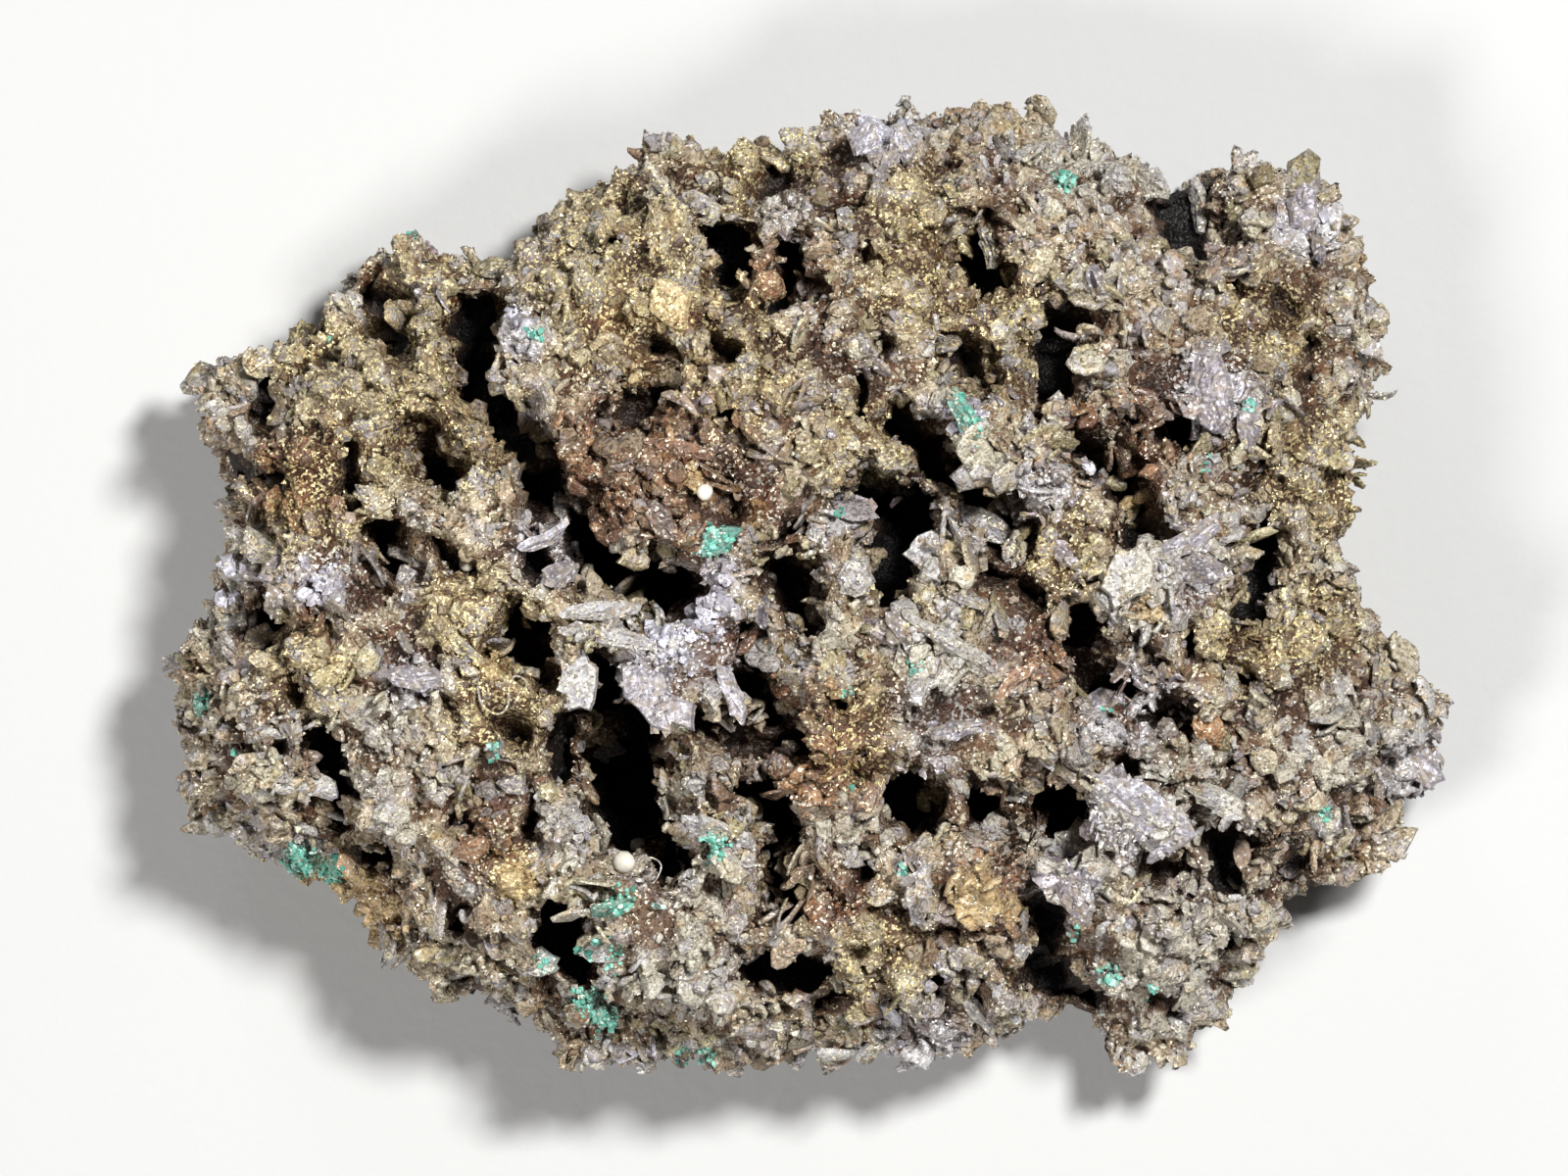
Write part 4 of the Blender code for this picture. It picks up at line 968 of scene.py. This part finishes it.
def on_tops(lilac=0.0, gold=0.0, most=0.35):
    """Odds for growing on the tops of the lumps, outside the hollows."""
    def weight(centre, normals, clear):
        plan = centre[:, :2]
        odds = smoothstep((clear - 0.35) / 0.4) * (hollow_share(plan) < most)
        if lilac:
            odds = odds * (1.0 - lilac + lilac * spotted(plan, LILAC, 1.0))
        odds = odds * (1.0 - gold * spotted(plan, GOLD, 1.0))
        odds = odds * (1.0 - 0.9 * spotted(plan, SILVER, 0.6))
        odds = odds * (0.25 + 0.75 * smoothstep((chart_at(centre) - 4.5 * MM) / (3.5 * MM)))
        return odds * (0.10 + 0.90 * smoothstep((normals[:, 2] + 0.15) / 0.6))
    return weight


def on_silver(centre, normals, clear):
    return spotted(centre[:, :2], SILVER, 0.6) * clear * near_top(centre) + 1e-9


def grow_wires(crust, material):
    """Thin curled wires between the crystals, each held by the crust at both ends."""
    surface = tree_of(crust)
    sides = 5
    points, faces = [], []
    angle = 2 * math.pi * np.arange(sides)[:, None] / sides
    for thick, *path in WIRES:
        low, high = (drop(surface, x * MM, y * MM)[0].z for x, y in (path[0], path[-1]))
        share = np.linspace(0, 1, len(path))
        heights = low + (high - low) * share + WIRE_ARCH * MM * np.sin(math.pi * share)
        line = np.column_stack([np.array(path) * MM, heights])
        for _ in range(2):
            cut = np.stack([0.75 * line[:-1] + 0.25 * line[1:], 0.25 * line[:-1] + 0.75 * line[1:]], axis=1)
            line = np.concatenate([line[:1], cut.reshape(-1, 3), line[-1:]])
        ahead = unit(np.gradient(line, axis=0))
        side = unit(np.cross(ahead, (0, 0, 1.0)))
        above = np.cross(side, ahead)
        start = sum(len(ring) for ring in points)
        for k in range(len(line)):
            points.append(line[k] + 0.5 * thick * MM * (np.cos(angle) * side[k] + np.sin(angle) * above[k]))
        for k in range(len(line) - 1):
            for i in range(sides):
                a, b = start + k * sides + i, start + k * sides + (i + 1) % sides
                faces += [(a, b, b + sides), (a, b + sides, a + sides)]
        last = start + (len(line) - 1) * sides
        for i in range(1, sides - 1):
            faces += [(start, start + i + 1, start + i), (last, last + i, last + i + 1)]
    points = np.concatenate(points)
    count = len(points)
    looks = looks_of(points, np.full(count, 0.8), np.full(count, 0.2), np.full(count, -1.0))
    return new_mesh("wires", points, np.array(faces), material, looks, True)


def grow_large_crystals(rng, crust, bare, coated):
    """The large plates that stand out in the photograph; those in lilac places are bare."""
    surface = tree_of(crust)
    places, axes, sizes = [], [], []
    for x, y, length, width, heading, tilt in PLATES:
        place, normal = drop(surface, x * MM, y * MM)
        up = (normal + Vector((0, 0, 2.0))).normalized()
        lean, turn = math.radians(tilt), math.radians(heading)
        first = Vector((math.cos(turn), math.sin(turn), 0))
        first = (first - up * first.dot(up)).normalized()
        third = (up * math.cos(lean) + up.cross(first) * -math.sin(lean)).normalized()
        places.append(place + up * (0.30 + 0.25 * width * math.sin(lean)) * MM)
        axes.append([first, third.cross(first), third])
        sizes.append((1.05 * length * MM, 1.1 * width * MM, PLATE_THICKNESS * MM))
    places, axes, sizes = np.array(places), np.array(axes), np.array(sizes)
    count = len(places)
    shapes, faces = leaf_shapes(rng, count, 14, 0.14, 0.6)
    tone_and_shade = rng.uniform(0.35, 0.85, count)
    shiny = spotted(places[:, :2], LILAC, 0.8) > 0.4
    surfaces = []
    kinds = (("bare_plates", bare, 0.3, shiny), ("dusty_plates", coated, 0.55, ~shiny))
    for name, material, kin, some in kinds:
        many = some.sum()
        surfaces.append(surface_of(fused(
            name, shapes[some], faces, axes[some], places[some], sizes[some], material, tone_and_shade[some],
            np.full(many, kin), np.full(many, -1.0),
        )))
    return joined(*surfaces)


GRAIN_FACES = np.array([(0, 2, 1), (0, 1, 3), (1, 2, 3), (2, 0, 3)])
GRAIN_POINTS = np.array([(0.94, 0, -0.33), (-0.47, 0.82, -0.33), (-0.47, -0.82, -0.33), (0, 0, 1.0)]) * 0.5


def grow_grains(rng, name, surface, count, material, low, high, weight=None):
    """Tiny four-sided crystals that dust the crust."""
    places, normals, clear = sow(rng, surface, count, weight)
    length = mostly_low(rng, low, high, count, 2.2)
    sizes = length[:, None] * MM * rng.uniform(0.8, 1.2, (count, 3))
    axes = turned(rng, normals, 0, 180)
    shapes = np.repeat(GRAIN_POINTS[None], count, axis=0)
    places = places + normals * sizes[:, 2:] * 0.15
    # Random tone, with painted shade where the place is less open
    tone_and_shade = rng.random(count) * (0.25 + 0.75 * smoothstep(clear / 0.8))
    kin = rng.random(count)
    return fused(name, shapes, GRAIN_FACES, axes, places, sizes, material, tone_and_shade, kin, normals[:, 2])


def gold_weight(centre, normals, clear):
    plan = centre[:, :2]
    share = 0.45 + spotted(plan, GOLD, 1.0) - 0.35 * spotted(plan, LILAC, 0.8)
    return np.clip(share, 0.1, 1.6) * in_the_open(centre, normals, clear)


def green_weight(centre, normals, clear):
    upward = smoothstep((normals[:, 2] - 0.1) / 0.5)
    return spotted(centre[:, :2], GREEN, 0.5) * clear ** 2 * near_top(centre) * upward + 1e-8


def grow_malachite(rng, surface, count, material):
    """Flat green crumbs, nearly all of them in the green places."""
    places, normals, _ = sow(rng, surface, count, green_weight)
    size = rng.uniform(0.10, 0.36, count)
    sizes = np.stack([size, size * rng.uniform(0.5, 1, count), size * 0.4], axis=1) * MM
    axes = turned(rng, normals, 0, 35)
    shapes, faces = leaf_shapes(rng, count, 5, 0.25, 0.2)
    places = places + normals * 0.04 * MM
    tone_and_shade, kin = rng.random(count), rng.random(count)
    return fused("malachite", shapes, faces, axes, places, sizes, material, tone_and_shade, kin, normals[:, 2])


def build_specimen():
    rng = np.random.default_rng(20)
    ore, coated, bare, grain = ore_material(), coated_material(), crystal_material(), grain_material()
    crust, openness = build_crust(ore)
    ground = surface_of(crust, openness)
    large = grow_large_crystals(rng, crust, bare, coated)
    grow_beads(rng, crust, bead_material())
    grow_wires(crust, coated)
    dusted = [ground, large]
    for i in range(2):
        leaves = grow_stacks(
            rng, f"leaves_{i + 1}", crust, ground, LEAF_STACKS, (1, 5), 10, coated, (0.7, 2.4),
            (0.40, 0.90), (0.12, 0.24), LEAF_TILTS, on_tops(gold=0.8), True,
        )
        dusted.append(surface_of(leaves))
    crumbs = grow_crumbs(rng, "crumbs", ground, CRUMBS, coated, 0.4, 1.2, on_tops(most=0.6))
    dusted.append(surface_of(crumbs))
    bare_leaves = grow_stacks(
        rng, "bare_leaves", crust, ground, BARE_STACKS, (1, 4), 8, bare, (0.6, 1.8),
        (0.4, 0.9), (0.08, 0.18), LEAF_TILTS, on_tops(lilac=0.9),
    )
    dusted.append(surface_of(bare_leaves))
    grow_crumbs(
        rng, "silver_crumbs", ground, SILVER_CRUMBS, bare, 0.25, 0.8, on_silver, (0.8, 1.0), (-1.0, -0.6),
    )
    granules = grow_granules(
        rng, "granules", joined(*dusted), GRANULES, coated, 0.14, 0.48, in_the_open,
    )
    dusted.append(surface_of(granules))
    everywhere = joined(*dusted)
    for i in range(2):
        grow_grains(rng, f"grains_{i + 1}", everywhere, GRAINS, grain, 0.07, 0.20, gold_weight)
    grow_malachite(rng, everywhere, GREEN_CRUMBS, malachite_material())


# The stage

def area_light(name, place, size, watts, colour=(1, 1, 1)):
    light = bpy.data.lights.new(name, "AREA")
    light.shape = "DISK"
    light.size = size
    light.energy = watts
    light.color = colour
    obj = linked(name, light)
    obj.location = place
    obj.rotation_euler = (-Vector(place)).to_track_quat("-Z", "Y").to_euler()


def build_stage():
    bpy.ops.mesh.primitive_plane_add(size=3.0)
    floor = bpy.context.active_object
    floor.name = "floor"
    floor.data.materials.append(floor_material())
    area_light("key", (0.125, 0.115, 0.43), 0.07, 3.05, (0.99, 0.99, 0.97))
    area_light("fill", (-0.24, -0.24, 0.38), 0.12, 1.6, (1.0, 0.99, 0.96))
    area_light("rim", (-0.15, 0.45, 0.30), 0.15, 0.25, (1.0, 1.0, 1.0))
    world = bpy.data.worlds.new("studio")
    bpy.context.scene.world = world
    world.use_nodes = True
    backdrop = world.node_tree.nodes["Background"]
    backdrop.inputs["Color"].default_value = (0.85, 0.90, 1.0, 1)
    backdrop.inputs["Strength"].default_value = 0.05


def build_camera():
    data = bpy.data.cameras.new("camera")
    data.sensor_width = SENSOR
    data.lens = SENSOR * (CAMERA_HEIGHT - OUTLINE_HEIGHT) / PHOTO_WIDTH
    data.clip_start = 0.01
    data.dof.use_dof = False
    camera = linked("camera", data)
    camera.location = (*PHOTO_MIDDLE, CAMERA_HEIGHT)
    bpy.context.scene.camera = camera


build_specimen()
build_stage()
build_camera()
bpy.context.scene.view_settings.view_transform = "Standard"
